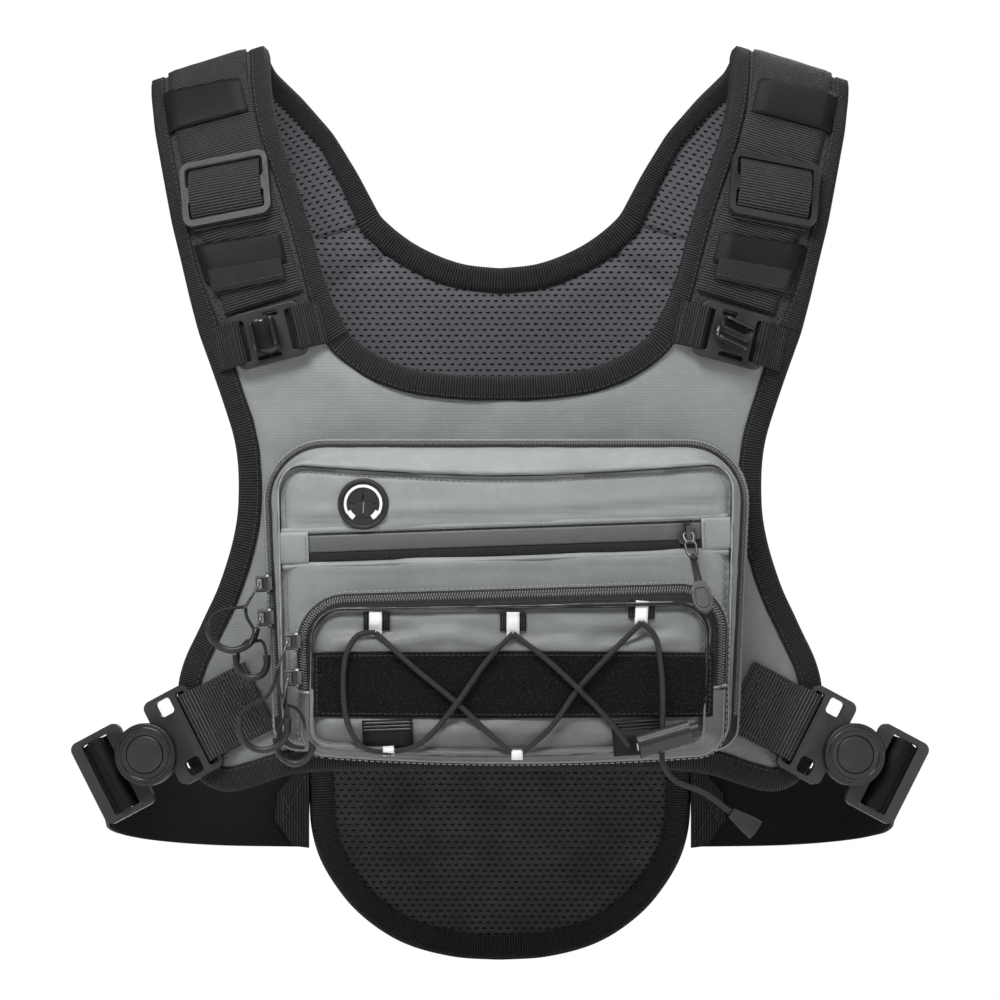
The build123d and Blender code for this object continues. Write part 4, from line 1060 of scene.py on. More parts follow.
neck_parts = [run_front(resample(neck_full, 70)), run_strap(1, "in", 8.4),
              run_back(resample(back_neck[::-1], 34)[1:]),
              run_back(resample(back_neck * MIRROR, 34)[1:]),
              run_strap(-1, "in", 8.4, rev=True)]
outer_parts = [run_front(resample(skirt_full, 230)), run_strap(-1, "out", 7.4),
               run_back(resample(back_side * MIRROR, 130)[1:]),
               run_back(resample(back_side[::-1], 130)[1:]),
               run_strap(1, "out", 7.4, rev=True)]
neck_seam = binding("binding_neck", neck_parts, 560, from_opening,
                    ["front_binding", "back_binding"])
outer_seam = binding("binding_outer", outer_parts, 1100, to_middle)
for label, (path, normals) in (("neck", neck_seam), ("outer", outer_seam)):
    stitch(f"binding_stitch_{label}", path, normals, "thread_dark", 3.0, 2.1, 0.24, closed=True,
           body="bend")


# =============================================================================
# pocket helpers
# =============================================================================
def fillet_loop(corners, radii):
    """A four-cornered loop with rounded corners and a fixed number of points."""
    arc_points, edge_points = 12, (46, 84, 46, 84)
    corners = [np.array(p, float) for p in corners]
    arcs = []
    for k, (p, radius) in enumerate(zip(corners, radii)):
        before, after = unit(corners[k - 1] - p), unit(corners[(k + 1) % 4] - p)
        angle = math.acos(float(np.clip(before @ after, -1, 1)))
        reach = radius / math.tan(angle / 2)
        centre = p + unit(before + after) * radius / math.sin(angle / 2)
        start, end = p + before * reach - centre, p + after * reach - centre
        a0 = math.atan2(start[1], start[0])
        turn = (math.atan2(end[1], end[0]) - a0 + math.pi) % (2 * math.pi) - math.pi
        arcs.append([centre + radius * np.array((math.cos(a0 + turn * t), math.sin(a0 + turn * t)))
                     for t in np.linspace(0, 1, arc_points)])
    out = []
    for k in range(4):
        out += arcs[k]
        start, end = arcs[k][-1], arcs[(k + 1) % 4][0]
        out += [start + (end - start) * t for t in np.linspace(0, 1, edge_points[k] + 2)[1:-1]]
    return np.array(out)


def box_loop(mid_x, top, bottom, half_top, half_bottom, radius_top, radius_bottom, grow):
    """Rounded trapezium, grown outward by an amount."""
    corners = [(mid_x - half_bottom - grow, bottom - grow), (mid_x - half_top - grow, top + grow),
               (mid_x + half_top + grow, top + grow), (mid_x + half_bottom + grow, bottom - grow)]
    low, high = radius_bottom + grow, radius_top + grow
    return fillet_loop(corners, (low, high, high, low))


def smooth_rings(rings, between):
    """Adds smooth in-between rings."""
    rows = np.array([np.hstack([loop, np.full((len(loop), 1), float(radius))])
                     for loop, radius in rings])
    last = len(rows) - 1
    out = []
    for i in range(last):
        p0, p1, p2, p3 = rows[max(i - 1, 0)], rows[i], rows[i + 1], rows[min(i + 2, last)]
        for t in np.linspace(0, 1, between + 1, endpoint=False):
            out.append(0.5 * ((2 * p1) + (p2 - p0) * t + (2 * p0 - 5 * p1 + 4 * p2 - p3) * t * t
                              + (3 * p1 - p0 - 3 * p2 + p3) * t ** 3))
    out.append(rows[-1])
    return [(ring[:, :2], ring[:, 2].mean()) for ring in out]


def wall(name, rings, between, thick, mat, slot, wrinkle=0.0, seed=0.0, keep=None, replaces=()):
    """Lofts matched loops [(loop, radius)] on the curved front; keep picks part of the loops."""
    closed = keep is None
    rows = np.array([wrap(loop if closed else loop[keep], radius)
                     for loop, radius in smooth_rings(rings, between)])
    count, around = rows.shape[:2]
    if wrinkle:
        along = arclen(rows[0], True)[:around]
        for i in range(1, count - 1):
            out = unit(np.cross(tangents(rows[i], True), rows[i + 1] - rows[i - 1]))
            push = np.array([ripple(a, i * 4.0, 14, seed, 3) for a in along]) * wrinkle
            rows[i] += out * push[:, None]
    along = arclen(rows[count // 2], closed)[:around]
    rise = np.linalg.norm(np.diff(rows, axis=0), axis=2).mean(1)
    up = np.concatenate([[0], np.cumsum(rise)])
    uv = np.stack([np.tile(along, count), np.repeat(up, around)], 1)
    piece = build(name, rows.reshape(-1, 3), quads(count, around, wrap_around=closed), uv, mat)
    solidify(piece, thick)
    fit(piece, "front", slot, replaces)


def ring_path(loop, radius, lift, lean):
    """A loop on the wall moved outward, with its outward normals leaned to the front."""
    out = plane_normals(loop)
    if np.mean(((loop - loop.mean(0)) * out).sum(1)) < 0:
        out = -out
    normals = np.stack([out[:, 0], np.zeros(len(loop)), out[:, 1]], 1)
    return wrap(loop, radius) + normals * lift, unit(normals + np.array([0, -lean, 0]))


def cut(loop, low):
    """Indices of the part of a loop above a height, from the left side to the right."""
    ok = loop[:, 1] > low
    i = [k for k in np.where(ok)[0] if not ok[k - 1]][0]
    n = len(loop)
    out = []
    while ok[i % n] and len(out) < n:
        out.append(i % n)
        i += 1
    return out


# painted shade: a dark rod in a pocket face's seam; the seam is real, its darkness stands in for
# the shadow under the gusset's fold
def seam_shadow(name, loop, radius, lift):
    q, normals = on_front(loop, radius, lift)
    fit(rod(name, q, normals, circle(0.9, 8), "tape", closed=True), "front")


# =============================================================================
# main pocket
# =============================================================================
MAIN_MID = 3.0               # x of the pocket's middle
MAIN_FACE = [(-108.0, -64.5), (-110.8, 75.5), (116.4, 76.0), (113.5, -64.5)]
MAIN_SEAM = [(-104.5, -66), (-107.6, 72.3), (113.2, 72.8), (110.0, -66)]


def main_loop(grow):
    return box_loop(MAIN_MID, 84.0, -64.0, 118.8, 112.0, 27.0, 9.0, grow)


def crown_top(loop, start, half_width):
    """Lowers the middle of the top edge; start is where the change begins."""
    across = np.clip(np.abs(loop[:, 0] - MAIN_MID) / half_width, 0, 1)
    loop[:, 1] -= 5.6 * (1 - across ** 1.6) * smooth01((loop[:, 1] - start) / 12)
    return loop


main_face = crown_top(fillet_loop(MAIN_FACE, (9, 13, 13, 9)), 58, 108.0)
main_half = (main_loop(-2.0) + main_face) / 2
wall("main_pocket_base", [(main_loop(3.4), 600.8), (main_loop(3.7), 605), (main_loop(3.2), 610)],
     3, 0.8, "pocket", "coated_grey")
wall("main_pocket_gusset",
     [(main_loop(-0.7), 630.3), (main_loop(-1.6), 634.0),
      (main_loop(-4.5) * 0.55 + main_half * 0.45, 638.6),
      (main_half * 0.30 + main_face * 0.70, 642.6),
      (main_half * 0.05 + main_face * 0.95, 642.0), (main_face, 639.4)],
     4, 0.7, "pocket", "coated_grey", wrinkle=0.45, seed=2.0)
wall("main_zip_band",
     [(main_loop(3.0), 609.6), (main_loop(1.9), 615), (main_loop(1.2), 620),
      (main_loop(0.3), 625), (main_loop(-0.9), 631)],
     2, 0.5, "tape", "zip_tape", replaces=["main_zip_tape"])
zip_loop = main_loop(1.3)
keep = cut(zip_loop, -52)
path, normals = ring_path(zip_loop, 620.6, 0.45, lean=0.42)
coil("main_zip_teeth", path[keep], normals[keep], 4.4, 0.5, "main_zip_coil")
for label, grow, radius, lift, thread in (("outer", 3.75, 606.5, 0.35, "thread_grey"),
                                          ("inner", -1.9, 633.2, 0.45, "thread_light")):
    path, normals = ring_path(main_loop(grow), radius, lift, lean=0.6)
    stitch(f"main_zip_stitch_{label}", path, normals, thread, 3.1, 2.2, 0.3, closed=True)

# the sloping zip across the main pocket's face
WELT_LEFT, WELT_RIGHT = np.array((-96.0, 34.2)), np.array((101.0, 41.0))
welt_dir = unit(WELT_RIGHT - WELT_LEFT)
welt_up = np.array((-welt_dir[1], welt_dir[0]))


def main_height(x, z, d):
    v = float((np.array((x, z)) - WELT_LEFT) @ welt_up)
    k = float(smooth01(d / 12))
    h = 1.5 * k + 0.75 * ripple(x * 0.35, z, 17, 21.0, 3) * k + 0.5 * ripple(x, z, 40, 8.0, 2) * k
    # the crease above the zip, and the rolled lips either side of it
    crease = 12.2 + 3.2 * float(smooth01((x - 20) / 90))
    h -= 1.8 * math.exp(-((v - crease) / 1.3) ** 2) * k
    h += 1.1 * math.exp(-((v - crease - 4.5) / 3.6) ** 2) * k
    h += 0.9 * math.exp(-((v + 11.6) / 1.6) ** 2) * k
    # sunk under the zip's films
    sunk = float(smooth01((8.4 - abs(v - 0.3)) / 1.2))
    sunk *= float(smooth01((104 - abs(x - 2.5)) / 1.5))
    return h * (1 - 0.85 * sunk) - 0.9 * sunk


fit(plate("main_pocket_face", main_face, front_surf(MAIN_R), 1.2, ["pocket"], step=2.6,
          height=main_height, pillow=(2.4, 4.5)),
    "front", "coated_grey", ["main_pocket"])
# dark rod along the main face's seam: painted shade for the shadow in the seam
seam_shadow("main_face_piping", main_face, MAIN_R, -1.6)
seam = crown_top(fillet_loop(MAIN_SEAM, (8, 11, 11, 8)), 55, 105.0)
seam = seam[cut(seam, -60)]
path = [front_surf(MAIN_R)(x, z, main_height(x, z, 3.2) + 0.15) for x, z in seam]
stitch("main_face_stitch", path, on_front(seam, MAIN_R)[1], "thread_grey", 3.0, 2.1, 0.26)


def welt_strip(name, past, low, high, radius, thick, mat, count=80, bow=0.0, across=6,
               ends=(WELT_LEFT, WELT_RIGHT)):
    """A strip between two points of the zip line, from low to high across it; bow rounds it.

    past lengthens the strip beyond its ends."""
    start, end = ends[0] - welt_dir * past[0], ends[1] + welt_dir * past[1]
    run = unit(end - start)
    up = np.array((-run[1], run[0]))
    length = np.linalg.norm(end - start)
    verts, uv = [], []
    for outer in (True, False):
        for f in [i / (count - 1) for i in range(count)]:
            for g in [j / (across - 1) for j in range(across)]:
                v = low + (high - low) * g
                x, z = start + run * length * f + up * v
                h = bow * math.sin(math.pi * g) if outer else -thick
                verts.append(front_surf(radius)(x, z, h))
                uv.append((length * f, v))
    faces = layer_faces(across, count)
    inner = count * across
    for i in range(count - 1):
        for j in (0, across - 1):
            p = i * across + j
            faces.append((p, p + across, inner + p + across, inner + p))
    for j in range(across - 1):
        for i in (0, count - 1):
            p = i * across + j
            faces.append((p, inner + p, inner + p + 1, p + 1))
    return build(name, verts, faces, uv, mat)


# name, length past the ends, low, high, radius, thickness, material, bow, points across, slot
for (name, past, low, high, radius, thick, mat, bow, across, slot) in (
        ("welt_film_upper", 0, -3.0, 5.4, 640.9, 0.9, "welt", 0.5, 9, "zip_tape"),
        ("welt_film_lower", 0, -7.8, -3.3, 640.8, 0.9, "tape", 0.3, 6, "zip_tape"),
        ("welt_under", 0, -8.6, 6.6, 640.0, 0.5, "tape", 0.0, 6, "zip_tape"),
        ("welt_lip", 13, -11.4, -8.0, 640.6, 1.0, "pocket", 1.3, 10, "coated_grey"),
        ("welt_lip_upper", 13, 6.4, 9.6, 640.5, 1.0, "pocket", 0.9, 8, "coated_grey")):
    fit(welt_strip(name, (past, past), low, high, radius, thick, mat, bow=bow, across=across),
        "front", slot, ["welt_zip_tape"] if name == "welt_film_upper" else ())
for label, past, offset, thread in (("top", 0, 5.9, "thread_dark"), ("low", 0, -6.0, "thread_dark"),
                                    ("lip", 12, -11.9, "thread_grey")):
    start, end = WELT_LEFT - welt_dir * past, WELT_RIGHT + welt_dir * past
    line = start + (end - start) * np.linspace(0, 1, 90)[:, None] + welt_up * offset
    stitch(f"welt_stitch_{label}", *on_front(line, MAIN_R, 0.75), thread, 2.6, 1.8, 0.22)
# hoods over the zip's ends
HOOD_OUT, HOOD_IN = 14.2, 0.4
for label, past, end in (("left", (HOOD_OUT, HOOD_IN), WELT_LEFT),
                         ("right", (HOOD_IN, HOOD_OUT), WELT_RIGHT)):
    hood = welt_strip(f"welt_garage_{label}", past, -8.2, 7.6, 641.7, 1.6, "pocket", count=14,
                      bow=0.7, across=9, ends=(end, end))
    fit(hood, "front", "coated_grey", ["welt_garages"] if label == "left" else ())
for label, centre in (("left", WELT_LEFT - welt_dir * 1.0), ("right", WELT_RIGHT + welt_dir * 1.0)):
    line = centre + np.linspace(-7.4, 6.8, 20)[:, None] * welt_up
    stitch(f"garage_stitch_{label}", *on_front(line, 642.4, 0.1), "thread_grey", 2.6, 1.8, 0.24)

# =============================================================================
# front pocket
# =============================================================================
FRONT_MID = 6.0              # x of the pocket's middle
FRONT_FACE = [(-94.5, -65.5), (-93.5, 3.0), (104.0, 5.5), (101.0, -63.5)]
FRONT_TILT = 0.030           # rise of the top edge per mm to the right


def front_loop(grow):
    """The pocket's outline: its lower edge sags and its top tilts."""
    loop = box_loop(FRONT_MID, 9.0, -65.5, 104.0, 101.0, 20.0, 8.0, grow)
    out = loop[:, 0] - FRONT_MID
    loop[:, 1] -= (4.0 * (1 - np.clip(np.abs(out) / 100.0, 0, 1) ** 2)
                   * smooth01((-48 - loop[:, 1]) / 12))
    loop[:, 1] += out * FRONT_TILT * smooth01((loop[:, 1] + 45) / 45)
    return loop


front_face = fillet_loop(FRONT_FACE, (9, 15, 15, 9))
low = front_face[:, 1] < -55
front_face[low, 1] -= 5.0 * (1 - np.clip(np.abs(front_face[low, 0] - FRONT_MID) / 95.0, 0, 1) ** 2)
front_half = (front_loop(-4.0) + front_face) / 2
front_lip = front_face * 0.93 + front_half * 0.07
wall("front_pocket_base",
     [(front_loop(3.6), 640.8), (front_loop(4.2), 642.6), (front_loop(3.4), 644.6)],
     3, 0.8, "pocket", "coated_grey")
# the gusset is drawn in the darker copy of the pocket fabric that carries painted shade
wall("front_pocket_gusset",
     [(front_loop(3.2), 644.4), (front_loop(1.5), 650), (front_loop(-1.6), 655.5),
      (front_loop(-4.4), 660.6), (front_half, 666.4), (front_lip, 667.0), (front_face, 664.6)],
     4, 0.7, "pocket_low", "coated_grey", wrinkle=0.5, seed=6.0)
ZIP_LOW = -38                # the zip's lower ends
zip_loop = front_loop(0.4)
keep = cut(zip_loop, ZIP_LOW)
wall("front_zip_band",
     [(front_loop(4.0), 644.6), (front_loop(2.6), 648.8), (front_loop(0.4), 653.4),
      (front_loop(-3.6), 661.4), (front_half, 667.0), (front_lip, 667.5), (front_face, 665.0)],
     2, 0.5, "tape", "zip_tape", keep=keep, replaces=["front_zip_tape"])
path, normals = ring_path(zip_loop, 653.4, 0.9, lean=0.75)
coil("front_zip_teeth", path[keep], normals[keep], 5.2, 0.52, "front_zip_coil")
for label, grow, radius, lift, thread, closed in (
        ("outer", 4.6, 643.0, 0.5, "thread_light", True),
        ("mid", 2.7, 648.3, 0.7, "thread_dark", False),
        ("inner", -3.5, 660.4, 0.8, "thread_dark", False)):
    loop = front_loop(grow)
    path, normals = ring_path(loop, radius, lift, lean=0.75)
    keep = list(range(len(loop))) if closed else cut(loop, ZIP_LOW)
    stitch(f"front_zip_stitch_{label}", path[keep], normals[keep], thread, 3.0, 2.1, 0.27,
           closed=closed)
# light hems that close the zip's lower ends
hem_loop = front_loop(1.0)
for side, label in SIDES:
    hem_z = -39.0 if side < 0 else -36.0
    near = ((np.abs(hem_loop[:, 1] - hem_z) < 3) & ((hem_loop[:, 0] - FRONT_MID) * side > 0))
    mid_x, mid_z = hem_loop[near].mean(0)
    hem = tube(f"zip_end_hem_{label}",
               [(mid_x + side * out, front_y(mid_x, radius), mid_z + up)
                for out, radius, up in ((3.5, 646, 1.4), (-1.5, 656, 0.4), (-7.0, 664.2, -0.6),
                                        (-11.0, 666.3, -1.0))],
               0.75, "thread_light", hint=(0, -1, 0.1), seg=8)
    fit(hem, "front")


def front_height(x, z, d):
    """Crumpled face: two waves near the top, a roll near the bottom, flatter at the loop field."""
    k = float(smooth01(d / 11))
    h = 1.0 * k
    h += (2.6 * ripple(x * 0.42, z * 1.25, 19, 31.0, 3) * k
          + 1.1 * ripple(x * 0.2, z, 6.5, 12.0, 2) * k)
    wave = 2.6 * math.sin(x / 23.0) + 1.2 * math.sin(x / 9.0 + 1.0)
    h += (2.3 * math.exp(-((z + 14 + wave) / 3.4) ** 2) * k
          - 1.9 * math.exp(-((z + 7.5 + wave) / 3.2) ** 2) * k)
    h += 1.6 * math.exp(-((z + 58 + 2.0 * math.sin(x / 31.0)) / 4.0) ** 2) * k
    field = float(smooth01((17.5 - abs(z + 34.5)) / 2.5))
    return h * (1 - 0.55 * field)


def face_lift(x, z):
    """Height of the front pocket's face away from its edge."""
    return front_height(x, z, 20)


# the face is drawn in the darker copy of the pocket fabric that carries painted shade
fit(plate("front_pocket_face", front_face, front_surf(FRONT_R), 1.2, ["pocket_low"], step=2.4,
          height=front_height, pillow=(2.2, 4.5)),
    "front", "coated_grey", ["front_pocket"])
# dark rod along the front face's seam: painted shade for the shadow in the seam
seam_shadow("front_face_piping", front_face, FRONT_R, -1.4)


# =============================================================================
# local frames
# =============================================================================
def mirror_x(points, side):
    """Left side points as they are for side -1, mirrored for side +1."""
    points = np.array(points, float)
    if side > 0:
        points[..., 0] *= -1
    return points


class Frame:
    """A local plane with its own x, y and height z."""

    def __init__(self, origin, x_dir, z_dir):
        self.origin = np.array(origin, float)
        self.z = unit(z_dir)
        x_dir = np.array(x_dir, float)
        self.x = unit(x_dir - self.z * (x_dir @ self.z))
        self.y = np.cross(self.z, self.x)

    def at(self, x, y, h=0.0):
        return self.origin + self.x * x + self.y * y + self.z * h

    def turned(self, degrees):
        a = math.radians(degrees)
        return Frame(self.origin, self.x * math.cos(a) + self.y * math.sin(a), self.z)

    def mirrored(self, side):
        """The same for the other side; all three directions mirror too."""
        other = Frame(self.origin, self.x, self.z)
        other.origin, other.x, other.y, other.z = (
            mirror_x(v, side) for v in (self.origin, self.x, self.y, self.z))
        return other


def strap_frame(x, z):
    """Frame on the front of the left strap, its y up the strap."""
    def point(x, z):
        out = abs(x) - STRAP_X
        return np.array((x, first_at(FRONT_PROFILE, z + SLOPE * out) + SWEEP * out, z))

    up = unit(point(x - 2.4, z + 10) - point(x + 2.4, z - 10))
    normal = unit(np.cross(unit(point(x + 12, z) - point(x - 12, z)), up))
    return Frame(point(x, z), np.cross(up, normal), normal)


def slab(name, place, outline, low, high, mat, bevel, holes=()):
    """A flat plate in a local frame with holes cut through it and rounded edges."""
    loops = [np.asarray(loop, float) for loop in (outline, *holes)]
    edges, base = [], 0
    for loop in loops:
        edges += [(base + i, base + (i + 1) % len(loop)) for i in range(len(loop))]
        base += len(loop)
    res = delaunay_2d_cdt([Vector(p) for p in np.vstack(loops)], edges, [], 0, 1e-5)
    flat = np.array([(v.x, v.y) for v in res[0]])
    centres = np.array([flat[list(t)].mean(0) for t in res[2]])
    ok = inside(loops[0], centres)
    for loop in loops[1:]:
        ok &= ~inside(loop, centres)
    bm = bmesh.new()
    top = [bm.verts.new(place.at(x, y, high) * MM) for x, y in flat]
    used = set()
    for t in [t for t, k in zip(res[2], ok) if k]:
        try:
            bm.faces.new([top[i] for i in t])
            used.update(t)
        except ValueError:
            pass  # the triangulation may name a triangle twice or fold it to a line
    for i, v in enumerate(top):
        if i not in used:
            bm.verts.remove(v)
    bmesh.ops.dissolve_limit(bm, angle_limit=0.01, verts=bm.verts, edges=bm.edges)
    res = bmesh.ops.extrude_face_region(bm, geom=bm.faces[:])
    moved = [g for g in res["geom"] if isinstance(g, bmesh.types.BMVert)]
    bmesh.ops.translate(bm, verts=moved, vec=Vector(place.z * (low - high) * MM))
    bmesh.ops.recalc_face_normals(bm, faces=bm.faces)
    sharp = [e for e in bm.edges if len(e.link_faces) == 2 and e.calc_face_angle(0) > 0.9]
    bmesh.ops.bevel(bm, geom=sharp, offset=bevel * MM, segments=3, profile=0.6,
                    affect="EDGES", clamp_overlap=True)
    layer = bm.loops.layers.uv.new("UVMap")
    for face in bm.faces:
        face.smooth = True
        for corner in face.loops:
            q = np.array(corner.vert.co) / MM - place.origin
            corner[layer].uv = (float(q @ place.x), float(q @ place.y))
    me = bpy.data.meshes.new(name)
    bm.to_mesh(me)
    bm.free()
    me.materials.append(MATS[mat])
    piece = bpy.data.objects.new(name, me)
    bpy.context.scene.collection.objects.link(piece)
    # flat faces shade flat
    bm = bmesh.new()
    bm.from_mesh(me)
    for e in bm.edges:
        if len(e.link_faces) == 2 and e.calc_face_angle(0) > math.radians(50):
            e.smooth = False
    bm.to_mesh(me)
    bm.free()
    return piece


def rounded_rect(width, height, radius, x=0.0, y=0.0, count=5):
    return rounded(width, height, radius, count) + np.array((x, y))


def web_sweep(name, place, points, width, count, along_y=False):
    """Webbing that follows (along, height) points in a local frame."""
    path = np.array([place.at(0.0, a, h) if along_y else place.at(a, 0.0, h)
                     for a, h in catmull(points, count)])
    across = place.x if along_y else place.y
    up = unit(np.cross(across, tangents(path)))
    return sweep(name, path, across, up, rounded(width, 1.5, 0.6, 3),
                 "web" if along_y else "webf")


# =============================================================================
# shoulder webbing, keepers, adjusters and clips
# =============================================================================
WEB_WIDTH = 39


def web_span(t):
    """The webbing's inner and outer x: its own line in front, the strap's middle behind."""
    x = settle_x(t, 135.0, 12, lambda z: first_at(WEB_MID, z))
    back = smooth01((profile_at(t)[0] + 58) / 45.0)
    mid_back = (shoulder_x(t, "in") + shoulder_x(t, "out")) / 2
    x = x * (1 - back) + mid_back * back
    return x - WEB_WIDTH / 2, x + WEB_WIDTH / 2


def strap_quad(name, side, corners, top, thick, mat, drop=1.8):
    """A band across the strap between four (x, z) corners, its ends pulled down."""
    across, rows = 18, 10
    corners = np.array(corners, float)
    verts, uv = [], []
    for depth in (0, thick):
        for b in [j / (rows - 1) for j in range(rows)]:
            for a in [i / (across - 1) for i in range(across)]:
                x, z = ((corners[0] * (1 - a) + corners[1] * a) * (1 - b)
                        + (corners[3] * (1 - a) + corners[2] * a) * b)
                end = min(a, 1 - a) * 60
                h = (top - drop * (1 - smooth01(end / 7.0)) - 0.25 * (abs(b - 0.5) * 2) ** 4
                     + 0.18 * ripple(x, z, 13, 2.0 + side, 2))
                p = shoulder_point(t_at(x, z), x - STRAP_X, h - depth)[0]
                verts.append((p[0] * side, p[1], p[2]))
                uv.append((a * 62, b * 22))
    return build(name, verts, sheet_faces(across, rows), uv, mat)


def swap_uv(piece):
    """Turns the ribs by a quarter turn."""
    data = piece.data.uv_layers[0].data
    flat = np.zeros(len(data) * 2, np.float32)
    data.foreach_get("uv", flat)
    data.foreach_set("uv", flat.reshape(-1, 2)[:, ::-1].copy().ravel())


adjuster = strap_frame(-136.0, 211.5).turned(-8)
clip = strap_frame(-115.0, 139.5)
# corners of the sewn double layer and the two elastic keepers, on the right side
STEP_QUAD = [(109.0, 178.0), (145.5, 171.5), (142.5, 161.0), (106.5, 168.0)]
KEEPER_QUADS = (("low", [(109.5, 191), (153, 184.5), (147, 166), (106.0, 176.5)]),
                ("high", [(129.5, 268.0), (169, 260.0), (165.5, 241), (125.5, 251.5)]))
# (along, height): halves of the webbing paths through the adjuster and the clip plate
BIGHT_HALF = [(-18.5, 3.0), (-15.8, 3.2), (-13.4, 4.2), (-10.6, 6.2), (-6, 7.7)]
CLIP_HALF = [(-28.5, 0.6), (-26.5, 1.6), (-22, 3.0), (-17.5, 5.6), (-15.6, 6.6), (-13.9, 5.4),
             (-12.6, 2.6), (-8, 2.0)]
CLIP_STITCHES = ((-26.0, 2.55), (-19.6, 4.9), (19.6, 4.9), (26.0, 2.55))


def there_and_back(half, middle):
    return half + [(0, middle)] + [(-a, h) for a, h in half[::-1]]


for side, label in SIDES:
    def web_lift(t, x, d):
        return 0.15 * ripple(x, t, 9, 1.0 + side, 2) - 0.5 * (1 - smooth01(d / 1.5))

    webbing = shoulder_grid(f"{label}_webbing", side, np.linspace(t_at(118, 156), T_END - 48, 120),
                            web_span, 12, 2.0, 0.35, ["web"], web_lift)
    swap_uv(webbing)
    fit(webbing, "bend", "black_webbing", [f"{label}_strap_webbing"])
    step = strap_quad(f"{label}_webbing_step", side, STEP_QUAD, 5.6, 3.4, "web", drop=0.6)
    swap_uv(step)
    fit(step, "front", "black_webbing")
    path, normals = on_strap(np.linspace((107.5, 169.5), (142.0, 162.6), 20), side, 5.5)
    stitch(f"{label}_step_stitch_0", path, normals, "thread_dark", 2.4, 1.8, 0.3)
    for end, corners in KEEPER_QUADS:
        fit(strap_quad(f"{label}_keeper_{end}", side, corners, 4.0, 1.5, "keeper"),
            "front", "black_elastic", ["strap_keepers"] if (side, end) == (-1, "low") else ())
    # webbing turned over the adjuster's middle bar
    bight = web_sweep(f"{label}_bight_webbing", adjuster.mirrored(side),
                      there_and_back(BIGHT_HALF, 8.3), 37.4, 70, along_y=True)
    fit(bight, f"{label}_adjust", "black_webbing", [f"{label}_bight"])
    # clip webbing: from both sides through the plate's slots
    here = clip.mirrored(side)
    clip_webbing = web_sweep(f"{label}_clip_webbing", here, there_and_back(CLIP_HALF, 2.0),
                             22.0, 130)
    fit(clip_webbing, "front", "black_webbing", ["clip_webbings"] if side < 0 else ())
    for k, (x, h) in enumerate(CLIP_STITCHES):
        stitch(f"{label}_clip_stitch_{k}", [here.at(x, y, h) for y in np.linspace(-10, 10, 14)],
               here.z, "thread_dark", 2.4, 1.8, 0.26)
    slots = [rounded_rect(3.4, 21, 1.4, -12.6, 0), rounded_rect(3.4, 21, 1.4, 12.6, 0),
             rounded_rect(7.5, 2.6, 1.0, 3.5, 10.2), rounded_rect(12, 2.6, 1.0, -1.5, -10.4)]
    clip_plate = slab(f"{label}_clip_plate", here, rounded_rect(36.5, 28.0, 4.0), 3.6, 6.0,
                      "plastic2", 0.55, slots)
    fit(clip_plate, "front", "black_plastic", ["clip_plates"] if side < 0 else ())
    nodes[f"{label}_adjuster"]["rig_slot"] = "black_plastic"


def tube_hook(name, place):
    """Open clip: a wide curled arm on a rounded foot; a tube would lie along y."""
    centre, inner, thick = 8.2, 5.05, 1.9
    angles = np.linspace(math.radians(-118), math.radians(128), 40)
    n, rows = len(angles), 9
    verts, uv = [], []
    for across in np.linspace(-1, 1, rows):
        rim = abs(across) ** 8
        for outer in (True, False):
            for i, a in enumerate(angles):
                f = i / (n - 1)
                half_width = 9.6 - 2.2 * abs(f - 0.5) * 2
                tip = max(0, (0.06 - min(f, 1 - f)) / 0.06)
                if outer:
                    radius = inner + thick - 0.45 * rim - 0.5 * tip
                else:
                    radius = inner + 0.35 * rim + 0.4 * tip
                verts.append(place.at(math.sin(a) * radius, across * half_width,
                                      centre - math.cos(a) * radius))
                uv.append((f * 20, across * 10))
    ring = 2 * n
    faces = []
    for j in range(rows - 1):
        for k in range(2):
            for i in range(n - 1):
                a = j * ring + k * n + i
                faces.append((a, a + 1, a + ring + 1, a + ring))
        for i in (0, n - 1):
            a, b = j * ring + i, j * ring + n + i
            faces.append((a, a + ring, b + ring, b))
    for j in (0, rows - 1):
        for i in range(n - 1):
            a, b = j * ring + i, j * ring + n + i
            faces.append((a, b, b + 1, a + 1))
    arm = build(name + "_arm", verts, faces, uv, "gloss")
    foot = slab(name + "_foot", place, rounded_rect(10.6, 19.5, 4.6, count=8), 0.2, 2.2,
                "gloss", 0.5)
    return join(name, [arm, foot])


HOOK_LIFT = 6.6
left_hook = Frame(clip.at(0, 0, HOOK_LIFT), clip.x, clip.z)
right_z = mirror_x(clip.z, 1)
# the right hook is turned on its plate
right_hook = Frame(mirror_x(clip.origin, 1) + unit(right_z) * HOOK_LIFT,
                   clip.x * (1, -1, -1), right_z).turned(-100)
for label, place in (("left", left_hook), ("right", right_hook)):
    fit(tube_hook(f"{label}_tube_hook", place), f"{label}_clip", "black_plastic",
        [f"{label}_hose_clip"])

# =============================================================================
# wings: box-stitched webbing, buckles and belts
# =============================================================================
turn, tilt = math.radians(14), math.radians(27.5)
buckle_out = np.array((-math.sin(turn), -math.cos(turn), 0))
buckle_along = np.array((-math.cos(turn) * math.cos(tilt), math.sin(turn) * math.cos(tilt),
                         -math.sin(tilt)))
buckle = Frame((-176, -100, -70), buckle_along, buckle_out)
WING_R = 601.2               # radius at which the wing's webbing lies


def wing_point(x, y, lift=0.0):
    """Point of the buckle's frame dropped on the wing and lifted."""
    low, high = -30.0, 40.0
    for _ in range(30):
        mid = (low + high) / 2
        p = buckle.at(x, y, mid)
        if math.hypot(p[0], p[1] - AXIS_Y) < WING_R:
            low = mid
        else:
            high = mid
    return buckle.at(x, y, (low + high) / 2 + lift)


